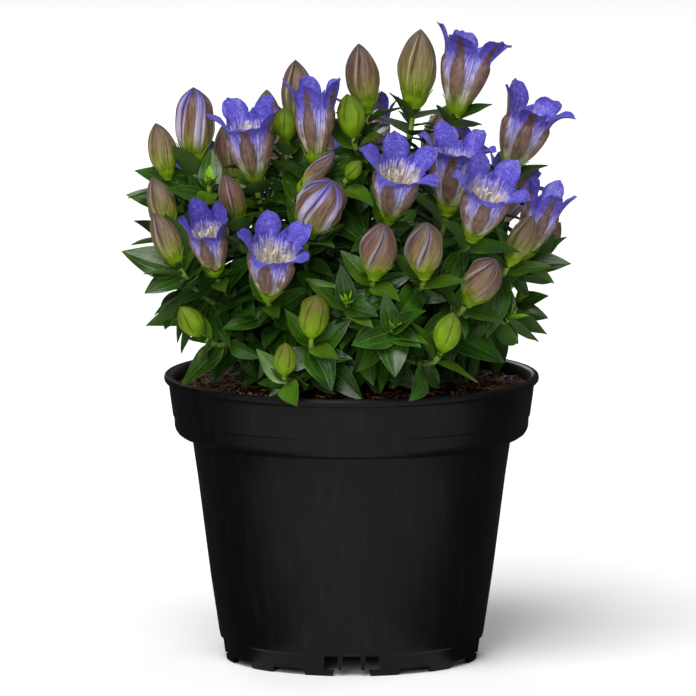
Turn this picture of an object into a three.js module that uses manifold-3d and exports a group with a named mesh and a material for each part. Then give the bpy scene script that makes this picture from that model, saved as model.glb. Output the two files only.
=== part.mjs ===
// A potted Japanese gentian: a nursery pot, its potting mix, and a clump of leafy stems with bells and
// buds.
// Millimetres, +Z up. The origin is the centre of the foot ring, on the surface that the pot stands on.
// The front of the plant faces -Y.
import * as THREE from 'three';
import { mergeVertices } from 'three/addons/utils/BufferGeometryUtils.js';
import Module from 'manifold-3d';

const wasm = await Module();
wasm.setup();

// Pot: an injection moulded container with a deep stepped band under a rolled lip
const POT_HEIGHT = 130;
const LIP_RADIUS = 85;
const BAND_TOP_RADIUS = 82.9;
const BAND_FOOT_RADIUS = 80.2;
const BAND_FOOT_HEIGHT = 106;
const BAND_STEP_HEIGHT = 110.5;
const BODY_TOP_RADIUS = 72.4;
const BODY_TOP_HEIGHT = 101;
const BODY_FOOT_RADIUS = 60.2;
const BODY_FOOT_HEIGHT = 12.8;
const SKIRT_RADIUS = 57.2;
const WALL = 1.5;
const FLOOR_UNDERSIDE = 9.6;
const FLOOR_TOP = 11.5;
const POT_SIDES = 36;

// Feet: twelve short pads under the skirt, with four drain windows in it. The floor steps down inside.
const FEET = 12;
const FOOT_HEIGHT = 2.8;
const NOTCH_WIDTH = 15.5;
const WINDOWS = 4;
const WINDOW_WIDTH = 25;
const WINDOW_TOP = 9.3;
const DRAIN_HOLE_RADIUS = 4;
const DRAIN_HOLE_CIRCLE = 28;
const WELL_RADIUS = 46;
const WELL_SIDES = 12;

// Potting mix
const SOIL_RADIUS = 80;
const SOIL_HEIGHT = 124.5;
const SOIL_MOUND = 3.2;
const SOIL_SIDES = 16;

// Fits
const SEAT_GAP = 0.35;
const LEAF_GAP = 0.4;
const SISTER_GAP = 0.15;
const SCRAP = 0.05;

// Stems
const LEADER_RADIUS = 1.8;
const BRANCH_RADIUS = 1.35;
const STEM_SIDES = 4;
const NODE_HEIGHT = 1.5;
const LONGEST_STEP = 34;
const ROOT_DEPTH = 11;

// Calyx, corolla and bud, for a head of size 1
const LOBES = 5;
const CALYX_DEPTH = 7;
const BELL_LENGTH = 38.5;
const BELL_TUBE = 25;
const BELL_RADIUS = 11.2;
const BELL_FLARE = 5.4;
const CUP_FLARE = 3.2;
// The lobes halfway up and at their edge, as shares of the flare and of the height above the tube: at a
// lobe's middle, at its shoulder, and in the fold
const HALFWAY = { rise: [0.48, 0.43, 0], flare: [0.22, 0.24, 0] };
const EDGE = { rise: [1, 0.82, 0.16], flare: [1, 0.88, 0.1] };
const BROAD = 0.06;
const BUD_LENGTH = 31;
const BUD_RADIUS = 7.6;

// Leaves: half width of a blade at two shares of its length
const BLADE_SECTIONS = [[0.25, 0.95], [0.6, 0.78]];
const BLADE_HALF_WIDTH = 0.235;
const RIB_THICKNESS = 0.8;
// Where the pairs sit below a head, with the length, lift and arch of their blades
const PAIRS = [
  { below: 5, length: 20, lift: 34, arch: 0.14 },
  { below: 13, length: 25, lift: 24, arch: 0.2 },
  { below: 25, length: 30, lift: 14, arch: 0.24 },
  { below: 39, length: 32, lift: 6, arch: 0.28 },
  { below: 55, length: 31, lift: 2, arch: 0.3 },
  { below: 73, length: 29, lift: 0, arch: 0.3 },
];
const LEADER_PAIRS = 6;
const BRANCH_PAIRS = 2;
const TIP_PAIRS = 3;
const TIP_SHIFT = 2.6;
// Ways to turn a blade that would touch a neighbour: swing, lift in degrees, and share of its length
const TRIES = [
  [0, 0, 1], [0, 14, 1], [0, -14, 1], [18, 0, 1], [-18, 0, 1], [20, 14, 0.95], [-20, 14, 0.95],
  [22, -14, 0.95], [-22, -14, 0.95], [0, 28, 0.95], [0, -28, 0.95], [34, 6, 0.9], [-34, 6, 0.9],
  [26, 26, 0.9], [-26, 26, 0.9], [26, -26, 0.9], [-26, -26, 0.9], [0, 0, 0.75], [40, 16, 0.8],
  [-40, 16, 0.8],
];

// Shoots: where each stands in the mix, and its heads. A head has the place of its calyx, the way that it
// looks, and its size. Every head after the first leaves the first one's stem at the share `fork` of it.
const SHOOTS = [
  { root: [-24, -4], heads: [
    { kind: 'bud', at: [-71, -5, 226], to: [0, 0.04, 1], size: 1.12 },
    { kind: 'bud', at: [-83, -8, 220], to: [-0.2, 0.08, 0.97], size: 0.82, fork: 0.7, turn: 0 },
    { kind: 'tip', at: [-64, -28, 219], to: [0.02, -0.4, 0.95], size: 0.9, fork: 0.72 },
  ] },
  { root: [-30, -15], heads: [
    { kind: 'bud', at: [-78, -48, 186], to: [-0.4, 0.05, 0.9], size: 0.82, turn: 10 },
    { kind: 'bud', at: [-81, -32, 200], to: [-0.36, 0.1, 0.9], size: 0.8, fork: 0.7, turn: -10 },
    { kind: 'tip', at: [-76, -24, 172], to: [-0.7, -0.1, 0.7], size: 0.9, fork: 0.55 },
  ] },
  { root: [-16, -15], heads: [
    { kind: 'bell', at: [-43, -44, 223], to: [-0.12, -0.26, 0.96], size: 1.0, roll: 30 },
    { kind: 'bud', at: [-38, -22, 237], to: [-0.02, 0.2, 0.97], size: 0.8, fork: 0.7 },
    { kind: 'green', at: [-29, -30, 239], to: [-0.06, 0.1, 0.97], size: 0.72, fork: 0.78 },
  ] },
  { root: [-7, -8], heads: [
    { kind: 'cup', at: [-16, -40, 231], to: [-0.01, -0.05, 1], size: 1.05 },
    { kind: 'bud', at: [-24, -12, 243], to: [-0.02, 0.16, 0.98], size: 1.0, fork: 0.66 },
  ] },
  { root: [3, -14], heads: [
    { kind: 'bud', at: [7, -18, 252], to: [-0.13, 0.06, 0.98], size: 0.98 },
    { kind: 'green', at: [1, -38, 242], to: [-0.12, 0.02, 0.99], size: 0.9, fork: 0.74 },
    { kind: 'green', at: [-2, -50, 225], to: [0.5, -0.45, 0.72], size: 0.52, fork: 0.6 },
  ] },
  { root: [10, -2], heads: [
    { kind: 'bud', at: [28, -6, 252], to: [0.1, 0.08, 0.99], size: 1.14 },
    { kind: 'bell', at: [47, -2, 248], to: [0.22, 0.08, 0.97], size: 1.05, fork: 0.66, roll: 30 },
  ] },
  { root: [24, 0], heads: [
    { kind: 'bell', at: [71, 2, 222], to: [0.34, -0.14, 0.93], size: 1.02, roll: -12 },
    { kind: 'cup', at: [77, -30, 187], to: [0.36, -0.1, 0.92], size: 0.98, fork: 0.55, roll: 20, turn: 0 },
    { kind: 'bud', at: [71, -50, 187], to: [0.42, -0.12, 0.9], size: 0.78, fork: 0.5 },
  ] },
  { root: [18, -13], heads: [
    { kind: 'bell', at: [43, -42, 209], to: [0.14, -0.22, 0.96], size: 1.02, roll: 21 },
    { kind: 'bell', at: [54, -62, 200], to: [0.26, -0.46, 0.85], size: 1.0, fork: 0.66, roll: 34 },
  ] },
  { root: [9, -25], heads: [
    { kind: 'bell', at: [17, -58, 208], to: [0.16, -0.5, 0.85], size: 1.0, roll: 33 },
    { kind: 'plump', at: [10, -74, 184], to: [0.15, -0.29, 0.94], size: 0.96, fork: 0.55 },
    { kind: 'plump', at: [32.5, -72, 184], to: [0, -0.29, 0.96], size: 0.96, fork: 0.5 },
  ] },
  { root: [28, -20], heads: [
    { kind: 'plump', at: [52, -65, 171], to: [0.5, -0.3, 0.81], size: 0.92 },
    { kind: 'tip', at: [70, -42, 160], to: [0.7, -0.3, 0.65], size: 0.95, fork: 0.55 },
    { kind: 'tip', at: [74, -12, 164], to: [0.7, -0.05, 0.7], size: 0.95, fork: 0.45 },
  ] },
  { root: [-3, -27], heads: [
    { kind: 'furled', at: [-19, -64, 202], to: [0.3, -0.36, 0.88], size: 1.02 },
    { kind: 'withered', at: [-23, -50, 219], to: [0.62, -0.12, 0.77], size: 0.72, fork: 0.72 },
  ] },
  { root: [-15, -29], heads: [
    { kind: 'bell', at: [-37, -64, 173.5], to: [0.08, -0.56, 0.83], size: 1.02, roll: 0 },
    { kind: 'bud', at: [-50, -52, 207], to: [-0.3, -0.3, 0.9], size: 0.74, fork: 0.62 },
  ] },
  { root: [-28, -27], heads: [
    { kind: 'cup', at: [-61, -52, 183], to: [-0.14, -0.56, 0.81], size: 0.98, roll: 24 },
    { kind: 'green', at: [-67, -58, 155], to: [-0.6, -0.15, 0.77], size: 0.76, fork: 0.35 },
  ] },
  { root: [-8, -40], heads: [
    { kind: 'green', at: [-18, -80, 157], to: [0.08, -0.3, 0.95], size: 0.95 },
    { kind: 'green', at: [-30, -80, 140], to: [0.03, -0.3, 0.95], size: 0.74, fork: 0.45 },
  ] },
  { root: [12, -39], heads: [
    { kind: 'tip', at: [-2, -78, 172], to: [-0.02, -0.62, 0.78], size: 0.95 },
    { kind: 'tip', at: [18, -80, 161], to: [0.05, -0.6, 0.8], size: 1, fork: 0.6 },
    { kind: 'green', at: [40, -76, 150], to: [0.3, -0.2, 0.93], size: 0.88, fork: 0.4 },
  ] },
  { root: [-25, 13], heads: [
    { kind: 'bell', at: [-60, 36, 192], to: [-0.35, 0.36, 0.86], size: 0.98, roll: 25 },
    { kind: 'bud', at: [-78, 20, 188], to: [-0.5, 0.12, 0.86], size: 0.86, fork: 0.6 },
    { kind: 'green', at: [-68, 44, 158], to: [-0.5, 0.5, 0.7], size: 0.8, fork: 0.42 },
  ] },
  { root: [-12, 10], heads: [
    { kind: 'bell', at: [-30, 40, 210], to: [-0.2, 0.32, 0.92], size: 1.0, roll: 0 },
    { kind: 'bud', at: [-52, 18, 212], to: [-0.2, 0.08, 0.97], size: 0.95, fork: 0.66 },
  ] },
  { root: [-13, 29], heads: [
    { kind: 'bell', at: [-10, 66, 196], to: [-0.05, 0.55, 0.83], size: 1.0, roll: 40 },
    { kind: 'bud', at: [-36, 70, 178], to: [-0.25, 0.45, 0.85], size: 0.9, fork: 0.6 },
    { kind: 'green', at: [-14, 82, 154], to: [-0.1, 0.6, 0.78], size: 0.85, fork: 0.45 },
  ] },
  { root: [7, 13], heads: [
    { kind: 'cup', at: [8, 38, 216], to: [0.02, 0.22, 0.97], size: 1.0 },
    { kind: 'bud', at: [36, 28, 218], to: [0.22, 0.18, 0.96], size: 1.0, fork: 0.66 },
  ] },
  { root: [15, 29], heads: [
    { kind: 'bell', at: [36, 56, 200], to: [0.3, 0.46, 0.83], size: 1.0, roll: 15 },
    { kind: 'bud', at: [20, 76, 176], to: [0.12, 0.5, 0.85], size: 0.88, fork: 0.55 },
    { kind: 'tip', at: [42, 76, 156], to: [0.3, 0.7, 0.65], size: 1, fork: 0.42 },
  ] },
  { root: [28, 15], heads: [
    { kind: 'bell', at: [62, 34, 190], to: [0.42, 0.32, 0.85], size: 0.95, roll: 50 },
    { kind: 'bud', at: [78, 18, 176], to: [0.62, 0.12, 0.77], size: 0.85, fork: 0.58 },
    { kind: 'green', at: [64, 50, 158], to: [0.5, 0.5, 0.7], size: 0.8, fork: 0.42 },
  ] },
];
// Kinds of head: what stands in the calyx, its share of a bell's or bud's length and width, and how wide
// the calyx is round it
const KINDS = {
  bell: { corolla: bell, length: 1, width: 1, snug: 1 },
  cup: { corolla: bell, length: 0.95, width: 0.82, snug: 0.95 },
  bud: { corolla: bud, length: 1, width: 1, snug: 0.86 },
  plump: { corolla: bud, length: 0.88, width: 1.14, snug: 1.06 },
  furled: { corolla: bud, length: 0.92, width: 1.35, snug: 1.2 },
  withered: { corolla: bud, length: 1.1, width: 0.75, snug: 0.86 },
  green: { corolla: null, length: 0.72, width: 0.92 },
  tip: { corolla: null, length: 0.2, width: 0.42 },
};

// Finishes
const finish = (color, roughness) => new THREE.MeshStandardMaterial({ color, roughness, metalness: 0 });
const POLYPROPYLENE = finish(0x1d1d1f, 0.5);
const PEAT = finish(0x3a211a, 1);
const LEAF_GREEN = finish(0x2c5a24, 0.42);
const PETAL_BLUE = finish(0x6657d6, 0.55);
const BUD_BROWN = finish(0x86705a, 0.55);

const vec = (x, y, z) => new THREE.Vector3(x, y, z);
const DEGREE = Math.PI / 180;
const UP = vec(0, 0, 1);

// A number from 0 to 1 that looks random, and is the same each time for the same seed
function chance(seed) {
  const wave = Math.sin(seed * 12.9898 + 4.1414) * 43758.5453;
  return wave - Math.floor(wave);
}

// Solids

function solidOfGeometry(geometry) {
  const bare = geometry.index ? geometry.toNonIndexed() : geometry.clone();
  bare.deleteAttribute('normal');
  bare.deleteAttribute('uv');
  const merged = mergeVertices(bare, 1e-4);
  return new wasm.Manifold(new wasm.Mesh({
    numProp: 3,
    vertProperties: new Float32Array(merged.attributes.position.array),
    triVerts: new Uint32Array(merged.index.array),
  }));
}

function solidOfFaces(points, faces) {
  const geometry = new THREE.BufferGeometry().setFromPoints(points);
  geometry.setIndex(faces.flat());
  return solidOfGeometry(geometry);
}

function meshOf(solid, name, material) {
  const { vertProperties, triVerts, numProp } = solid.getMesh();
  const position = new Float32Array((vertProperties.length / numProp) * 3);
  for (let i = 0; i < position.length / 3; i++) {
    position.set(vertProperties.subarray(i * numProp, i * numProp + 3), i * 3);
  }
  const geometry = new THREE.BufferGeometry();
  geometry.setAttribute('position', new THREE.BufferAttribute(position, 3));
  geometry.setIndex(new THREE.BufferAttribute(new Uint32Array(triVerts), 1));
  geometry.computeVertexNormals();
  const mesh = new THREE.Mesh(geometry, material);
  mesh.name = name;
  return mesh;
}

// Faces between two rings of points, each given as the places of its points in a list. The rings may have
// different counts, and one may be a single point. They run anticlockwise as seen from the second one.
function facesBetween(first, second) {
  const faces = [];
  const n = first.length;
  const m = second.length;
  let i = n === 1 ? 1 : 0;
  let j = m === 1 ? 1 : 0;
  while (i < n || j < m) {
    if (j >= m || (i < n && (i + 1) / n <= (j + 1) / m)) {
      faces.push([first[i % n], first[(i + 1) % n], second[j % m]]);
      i += 1;
    } else {
      faces.push([first[i % n], second[(j + 1) % m], second[j % m]]);
      j += 1;
    }
  }
  return faces;
}

function placesOf(rings) {
  let start = 0;
  return rings.map((ring) => {
    const places = ring.map((_, i) => start + i);
    start += ring.length;
    return places;
  });
}

// A closed skin over a row of rings
function skin(rings) {
  const places = placesOf(rings);
  const faces = [];
  for (let r = 0; r + 1 < rings.length; r++) faces.push(...facesBetween(places[r], places[r + 1]));
  return solidOfFaces(rings.flat(), faces);
}

// Pot

function lathe(profile, sides) {
  const points = profile.map(([r, z]) => new THREE.Vector2(r, z));
  return solidOfGeometry(new THREE.LatheGeometry(points, sides).rotateX(Math.PI / 2));
}

function potShell() {
  return lathe([
    [0, FLOOR_UNDERSIDE],
    [SKIRT_RADIUS - WALL, FLOOR_UNDERSIDE],
    [SKIRT_RADIUS - WALL - 0.4, 0],
    [SKIRT_RADIUS, 0],
    [SKIRT_RADIUS + 1.2, 9.2],
    [BODY_FOOT_RADIUS, BODY_FOOT_HEIGHT],
    [BODY_TOP_RADIUS, BODY_TOP_HEIGHT],
    [BAND_FOOT_RADIUS - 2.4, BODY_TOP_HEIGHT + 1.6],
    [BAND_FOOT_RADIUS, BAND_FOOT_HEIGHT],
    [BAND_FOOT_RADIUS + 0.2, BAND_STEP_HEIGHT],
    [BAND_FOOT_RADIUS + 0.8, BAND_STEP_HEIGHT + 0.6],
    [BAND_TOP_RADIUS, POT_HEIGHT - 4.4],
    [LIP_RADIUS, POT_HEIGHT - 2.8],
    [LIP_RADIUS - 0.5, POT_HEIGHT],
    [BAND_TOP_RADIUS - WALL, POT_HEIGHT - 0.8],
    [BAND_FOOT_RADIUS - WALL, BAND_FOOT_HEIGHT + 1],
    [BODY_TOP_RADIUS - WALL, BODY_TOP_HEIGHT + 1],
    [BODY_FOOT_RADIUS - WALL, FLOOR_TOP],
    [0, FLOOR_TOP],
  ], POT_SIDES);
}

// A bar along +Y with a trapezium as its section, from `near` on, turned about the pot's axis
function radialBar(topWidth, footWidth, low, high, near, depth, angle) {
  const outline = new THREE.Shape([
    new THREE.Vector2(-footWidth / 2, low),
    new THREE.Vector2(footWidth / 2, low),
    new THREE.Vector2(topWidth / 2, high),
    new THREE.Vector2(-topWidth / 2, high),
  ]);
  const bar = new THREE.ExtrudeGeometry(outline, { depth, bevelEnabled: false });
  bar.rotateX(Math.PI / 2);
  bar.translate(0, -near, 0);
  bar.rotateZ(angle);
  return solidOfGeometry(bar);
}

function prism(radius, sides, low, high, x = 0, y = 0) {
  const shape = new THREE.CylinderGeometry(radius, radius, high - low, sides);
  shape.rotateX(Math.PI / 2);
  shape.translate(x, y, (low + high) / 2);
  return solidOfGeometry(shape);
}

function pot() {
  const cuts = [prism(WELL_RADIUS - WALL, WELL_SIDES, FOOT_HEIGHT + WALL, FLOOR_TOP + 1)];
  const drain = (x, y) => prism(DRAIN_HOLE_RADIUS, 6, FOOT_HEIGHT - 1, FOOT_HEIGHT + WALL + 1, x, y);
  cuts.push(drain(0, 0));
  for (let i = 0; i < FEET; i++) {
    const angle = (i * 2 * Math.PI) / FEET;
    cuts.push(radialBar(NOTCH_WIDTH, NOTCH_WIDTH + 2.4, -1, FOOT_HEIGHT, SKIRT_RADIUS - 5, 8, angle));
  }
  for (let i = 0; i < WINDOWS; i++) {
    const angle = (i * 2 * Math.PI) / WINDOWS;
    cuts.push(radialBar(WINDOW_WIDTH, WINDOW_WIDTH, FOOT_HEIGHT, WINDOW_TOP, SKIRT_RADIUS - 5, 8, angle));
    cuts.push(drain(DRAIN_HOLE_CIRCLE * Math.cos(angle), DRAIN_HOLE_CIRCLE * Math.sin(angle)));
  }
  const well = prism(WELL_RADIUS, WELL_SIDES, FOOT_HEIGHT, FLOOR_UNDERSIDE + 0.8);
  return wasm.Manifold.union([potShell(), well]).subtract(wasm.Manifold.union(cuts));
}

// Potting mix

function soilHeight(x, y) {
  const share = Math.min(1, Math.hypot(x, y) / SOIL_RADIUS);
  const lumps = Math.sin(x * 0.19 + 1.3) * Math.cos(y * 0.17) + 0.5 * Math.sin((x - y) * 0.31);
  return SOIL_HEIGHT + SOIL_MOUND * (1 - share * share) + 0.8 * lumps * (1 - share ** 6);
}

function circle(radius, sides, height) {
  const ring = [];
  for (let i = 0; i < sides; i++) {
    const angle = (i * 2 * Math.PI) / sides;
    const x = radius * Math.cos(angle);
    const y = radius * Math.sin(angle);
    ring.push(vec(x, y, typeof height === 'function' ? height(x, y) : height));
  }
  return ring;
}

function soil() {
  const inset = WALL + 0.7;
  const wallRings = [
    [BODY_FOOT_RADIUS - inset, FLOOR_TOP + SEAT_GAP],
    [BODY_TOP_RADIUS - inset, BODY_TOP_HEIGHT + 1.5],
    [BAND_FOOT_RADIUS - inset - 0.6, BAND_FOOT_HEIGHT + 1.8],
  ];
  const rings = [[vec(0, 0, FLOOR_TOP + SEAT_GAP)]];
  for (const [radius, height] of wallRings) rings.push(circle(radius, SOIL_SIDES, height));
  for (const radius of [SOIL_RADIUS, SOIL_RADIUS * 0.78, SOIL_RADIUS * 0.5]) {
    rings.push(circle(radius, SOIL_SIDES, soilHeight));
  }
  rings.push(circle(SOIL_RADIUS * 0.22, SOIL_SIDES / 2, soilHeight), [vec(0, 0, soilHeight(0, 0))]);
  const holes = SHOOTS.map(({ root: [x, y] }) => {
    const top = soilHeight(x, y);
    return prism(LEADER_RADIUS + 1.1, 4, top - ROOT_DEPTH - SEAT_GAP, top + 5, x, y);
  });
  return skin(rings).subtract(wasm.Manifold.union(holes));
}

// Stems

// Two directions across a stem: the one that looks away from the clump's middle, and the one beside it
function across(tangent, heading) {
  const away = heading.clone().sub(UP).normalize();
  away.addScaledVector(tangent, -away.dot(tangent)).normalize();
  return [away, vec(0, 0, 0).crossVectors(tangent, away)];
}

function headingOf(point) {
  return vec(point.x, point.y, 0).normalize();
}

// A square ring round a stem, whose sides look at `turn` degrees from the outward direction and at right
// angles to that
function ringAcross(point, tangent, heading, radius, turn) {
  const [away, beside] = across(tangent, heading);
  const ring = [];
  for (let i = 0; i < STEM_SIDES; i++) {
    const angle = ((i - 0.5) * 2 * Math.PI) / STEM_SIDES + turn * DEGREE;
    ring.push(point.clone()
      .addScaledVector(away, radius * Math.cos(angle))
      .addScaledVector(beside, radius * Math.sin(angle)));
  }
  return ring;
}

function leaderPath(root, head) {
  const foot = vec(root[0], root[1], soilHeight(root[0], root[1]) + 1.5);
  const end = vec(...head.at);
  const reach = foot.distanceTo(end);
  const rise = vec(end.x - foot.x, end.y - foot.y, 0).multiplyScalar(0.12);
  rise.z = reach * 0.4;
  const back = vec(...head.to).normalize().multiplyScalar(reach * 0.32);
  return new THREE.CubicBezierCurve3(foot, foot.clone().add(rise), end.clone().sub(back), end);
}

function branchPath(leader, head) {
  const foot = leader.getPoint(head.fork);
  const end = vec(...head.at);
  const reach = foot.distanceTo(end);
  const straight = end.clone().sub(foot).normalize();
  const out = leader.getTangent(head.fork).add(straight).setLength(reach * 0.34);
  const back = vec(...head.to).normalize().multiplyScalar(reach * 0.4);
  return new THREE.CubicBezierCurve3(foot, foot.clone().add(out), end.clone().sub(back), end);
}

// The pairs of leaves that a stem has room for, each at its share of the path
function pairsOn(path, head, isLeader) {
  const isTip = head.kind === 'tip';
  const most = isLeader ? LEADER_PAIRS : isTip ? TIP_PAIRS : BRANCH_PAIRS;
  const length = path.getLength();
  return PAIRS.slice(0, most)
    .map((pair, index) => {
      const below = isTip ? pair.below * 0.75 - TIP_SHIFT / 2 : pair.below;
      return { ...pair, index, t: 1 - below / length, turn: (head.turn ?? 45) + index * 90 };
    })
    .filter((pair) => (1 - pair.t) * length < length * (isLeader ? 0.92 : 0.84));
}

// The stem's rings from its foot up to the head, thinning on the way. Every pair of leaves has two close
// rings, so that the stem's faces between them can become the feet of the blades.
function stemRings(path, head, pairs, radius, tipRadius, firstT) {
  const heading = headingOf(path.v3);
  const length = path.getLength();
  const half = NODE_HEIGHT / 2 / length;
  const stations = [{ t: firstT }];
  for (const pair of [...pairs].reverse()) {
    const from = stations[stations.length - 1].t;
    const steps = Math.ceil(((pair.t - half - from) * length) / LONGEST_STEP);
    for (let i = 1; i < steps; i++) stations.push({ t: from + ((pair.t - half - from) * i) / steps });
    stations.push({ t: pair.t - half, pair }, { t: pair.t + half });
  }
  return stations.map(({ t, pair }) => ({
    pair,
    ring: ringAcross(
      path.getPoint(t), path.getTangent(t), heading, radius + (tipRadius - radius) * t, head.turn ?? 45),
  }));
}

// Heads. Each is made along +Z at the origin and then stood on its stem.

function standing(head, heading) {
  const up = vec(...head.to).normalize();
  const [away, beside] = across(up, heading);
  const matrix = new THREE.Matrix4().makeBasis(away, beside, up).setPosition(...head.at);
  return matrix.multiply(new THREE.Matrix4().makeRotationZ((head.roll ?? 0) * DEGREE));
}

// A ring of points whose radius and height are functions of the lobe's phase: 0 at its middle, 1 at a fold.
// A broad lobe has its shoulders nearer to the folds.
function lobedRing(sides, radius, height, twist = 0, broad = 0) {
  const ring = [];
  for (let i = 0; i < sides; i++) {
    const turn = (i * LOBES) / sides;
    const fromMiddle = turn - Math.round(turn);
    const phase = 2 * Math.abs(fromMiddle);
    const angle = ((turn + broad * Math.sin(fromMiddle * 2 * Math.PI)) / LOBES) * 2 * Math.PI + twist;
    const r = typeof radius === 'function' ? radius(phase) : radius;
    const z = typeof height === 'function' ? height(phase) : height;
    ring.push(vec(r * Math.cos(angle), r * Math.sin(angle), z));
  }
  return ring;
}

// A cup of sepals round the foot of the corolla, hollow so that the corolla stands in it
function calyxRings(size, snug) {
  const rim = (phase) => (phase < 0.5 ? CALYX_DEPTH * 1.45 : CALYX_DEPTH * 0.8) * size;
  const rimRadius = (phase) => (phase < 0.5 ? 9.3 * snug : 7 * snug) * size;
  return [
    lobedRing(LOBES, 2.3 * size, -1),
    lobedRing(LOBES, 5.4 * size * snug, 2 * size),
    lobedRing(2 * LOBES, rimRadius, rim),
    lobedRing(LOBES, 4.6 * size * snug, 2.4 * size),
    [vec(0, 0, 0.9 * size)],
  ];
}

// The bell: a five-lobed tube that opens into a throat, with lobes that flare from it
function bell(size, { length, width }) {
  const long = size * length;
  const wide = size * width;
  const fold = (middle, folded) => (phase) => middle + (folded - middle) * phase;
  const flare = width < 1 ? CUP_FLARE : BELL_FLARE;
  const along = (shares) => (phase) => shares[Math.round(phase * 2)];
  const halfRise = along(HALFWAY.rise);
  const halfFlare = along(HALFWAY.flare);
  const edgeRise = along(EDGE.rise);
  const edgeFlare = along(EDGE.flare);
  const wayOut = (share) => (BELL_RADIUS + flare * share) * wide;
  const wayUp = (share) => (BELL_TUBE + (BELL_LENGTH - BELL_TUBE) * share) * long;
  return skin([
    [vec(0, 0, 1.3 * size)],
    lobedRing(LOBES, 3.3 * size, 2.8 * size),
    lobedRing(2 * LOBES, fold(8.7 * wide, 7.7 * wide), 11 * long),
    lobedRing(2 * LOBES, fold(BELL_RADIUS * wide, 9.7 * wide), (BELL_TUBE - 3) * long),
    lobedRing(4 * LOBES, (p) => wayOut(halfFlare(p)), (p) => wayUp(halfRise(p)), 0, BROAD),
    lobedRing(4 * LOBES, (p) => wayOut(edgeFlare(p)), (p) => wayUp(edgeRise(p)), 0, BROAD),
    lobedRing(2 * LOBES, fold((BELL_RADIUS - 1.2) * wide, 8.6 * wide), (BELL_TUBE - 1) * long),
    lobedRing(LOBES, 6.4 * wide, 11 * long),
    [vec(0, 0, 20 * long)],
  ]);
}

// A closed corolla: a spindle whose five furled lobes twist to a point
function bud(size, { length, width }) {
  const long = size * length;
  const wide = size * width;
  const ridge = (middle) => (phase) => middle * (1 - 0.1 * phase);
  return skin([
    [vec(0, 0, 1.3 * size)],
    lobedRing(LOBES, 2.7 * size, 2.8 * size),
    lobedRing(2 * LOBES, ridge(BUD_RADIUS * 0.86 * wide), BUD_LENGTH * 0.28 * long),
    lobedRing(2 * LOBES, ridge(BUD_RADIUS * wide), BUD_LENGTH * 0.52 * long, 0.15),
    lobedRing(LOBES, BUD_RADIUS * 0.66 * wide, BUD_LENGTH * 0.82 * long, 0.4),
    [vec(0, 0, BUD_LENGTH * long)],
  ]);
}

// An unripe bud is still as green as its calyx, and one solid with it
function greenRings(size, { length, width }) {
  const wide = BUD_RADIUS * width * size;
  const tall = BUD_LENGTH * length * size;
  return [
    lobedRing(LOBES, Math.min(2, wide), -1),
    lobedRing(LOBES, wide * 0.86, tall * 0.22),
    lobedRing(LOBES, wide, tall * 0.5, 0.3),
    lobedRing(LOBES, wide * 0.62, tall * 0.82, 0.6),
    [vec(0, 0, tall)],
  ];
}

// Leaves

// How a blade runs, and its upper side, for one try at clearing its neighbours
function bladeFrame(path, pair, side, seed, [swing, lift, share]) {
  const tangent = path.getTangent(pair.t);
  const [away, beside] = across(tangent, headingOf(path.v3));
  const wobble = (chance(seed) - 0.5) * 30;
  const angle = (pair.turn + side * 180 + wobble + swing) * DEGREE;
  const raised = (pair.lift + (chance(seed + 0.37) - 0.5) * 20 + lift) * DEGREE;
  const along = away.clone().multiplyScalar(Math.cos(angle)).addScaledVector(beside, Math.sin(angle));
  along.multiplyScalar(Math.cos(raised)).addScaledVector(tangent, Math.sin(raised)).normalize();
  const upper = tangent.clone().addScaledVector(along, -tangent.dot(along)).normalize();
  return {
    along,
    upper,
    length: pair.length * share * (0.88 + 0.26 * chance(seed + 0.71)),
    arch: pair.arch * (0.7 + 0.6 * chance(seed + 0.13)),
  };
}

// A lens-shaped blade, thickest at its rib, folded a little along it and arched away from the stem's tip.
// It grows out of four corners of the stem: low before, low behind, high behind and high before.
function blade(corners, { along, upper, length, arch }) {
  const root = vec(0, 0, 0);
  for (const corner of corners) root.addScaledVector(corner, 0.25);
  const side = vec(0, 0, 0).crossVectors(upper, along);
  const half = length * BLADE_HALF_WIDTH;
  const thick = RIB_THICKNESS / 2;
  const points = [...corners];
  for (const [t, share] of BLADE_SECTIONS) {
    const middle = root.clone().addScaledVector(along, length * t);
    middle.addScaledVector(upper, -length * arch * t * t);
    const wing = half * share;
    const fold = 0.22 * wing;
    points.push(
      middle.clone().addScaledVector(side, wing).addScaledVector(upper, fold),
      middle.clone().addScaledVector(upper, thick),
      middle.clone().addScaledVector(side, -wing).addScaledVector(upper, fold),
      middle.clone().addScaledVector(upper, -thick),
    );
  }
  points.push(root.clone().addScaledVector(along, length).addScaledVector(upper, -length * arch));
  return { points, faces: BLADE_FACES };
}

// Corners of a blade: 0 to 3 on the stem, then behind, top, before and under at each section, then the tip
const BLADE_FACES = [
  [2, 3, 5], [2, 5, 4], [3, 6, 5], [0, 1, 7], [1, 4, 7], [0, 7, 6], [1, 2, 4], [0, 6, 3],
  [4, 5, 9], [4, 9, 8], [5, 6, 9], [6, 10, 9], [4, 11, 7], [4, 8, 11], [6, 7, 11], [6, 11, 10],
  [8, 9, 12], [9, 10, 12], [10, 11, 12], [11, 8, 12],
];
const BLADE_FOOT = [[0, 3, 2], [0, 2, 1]];

// Clearances

function boxOf(solid) {
  const { min, max } = solid.boundingBox();
  return new THREE.Box3(vec(...min), vec(...max));
}

function obstacle(owner, path, solid) {
  return { owner, path, solid, box: boxOf(solid).expandByScalar(LEAF_GAP) };
}

function isClear(solid, owner, path, obstacles) {
  const box = boxOf(solid);
  return obstacles.every((o) => {
    if (o.path === path || !o.box.intersectsBox(box)) return true;
    const gap = o.owner === owner ? SISTER_GAP : LEAF_GAP;
    return o.solid.minGap(solid, gap) >= gap;
  });
}

// The plant

const name = (word, index) => `${word}_${String(index).padStart(2, '0')}`;

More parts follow.
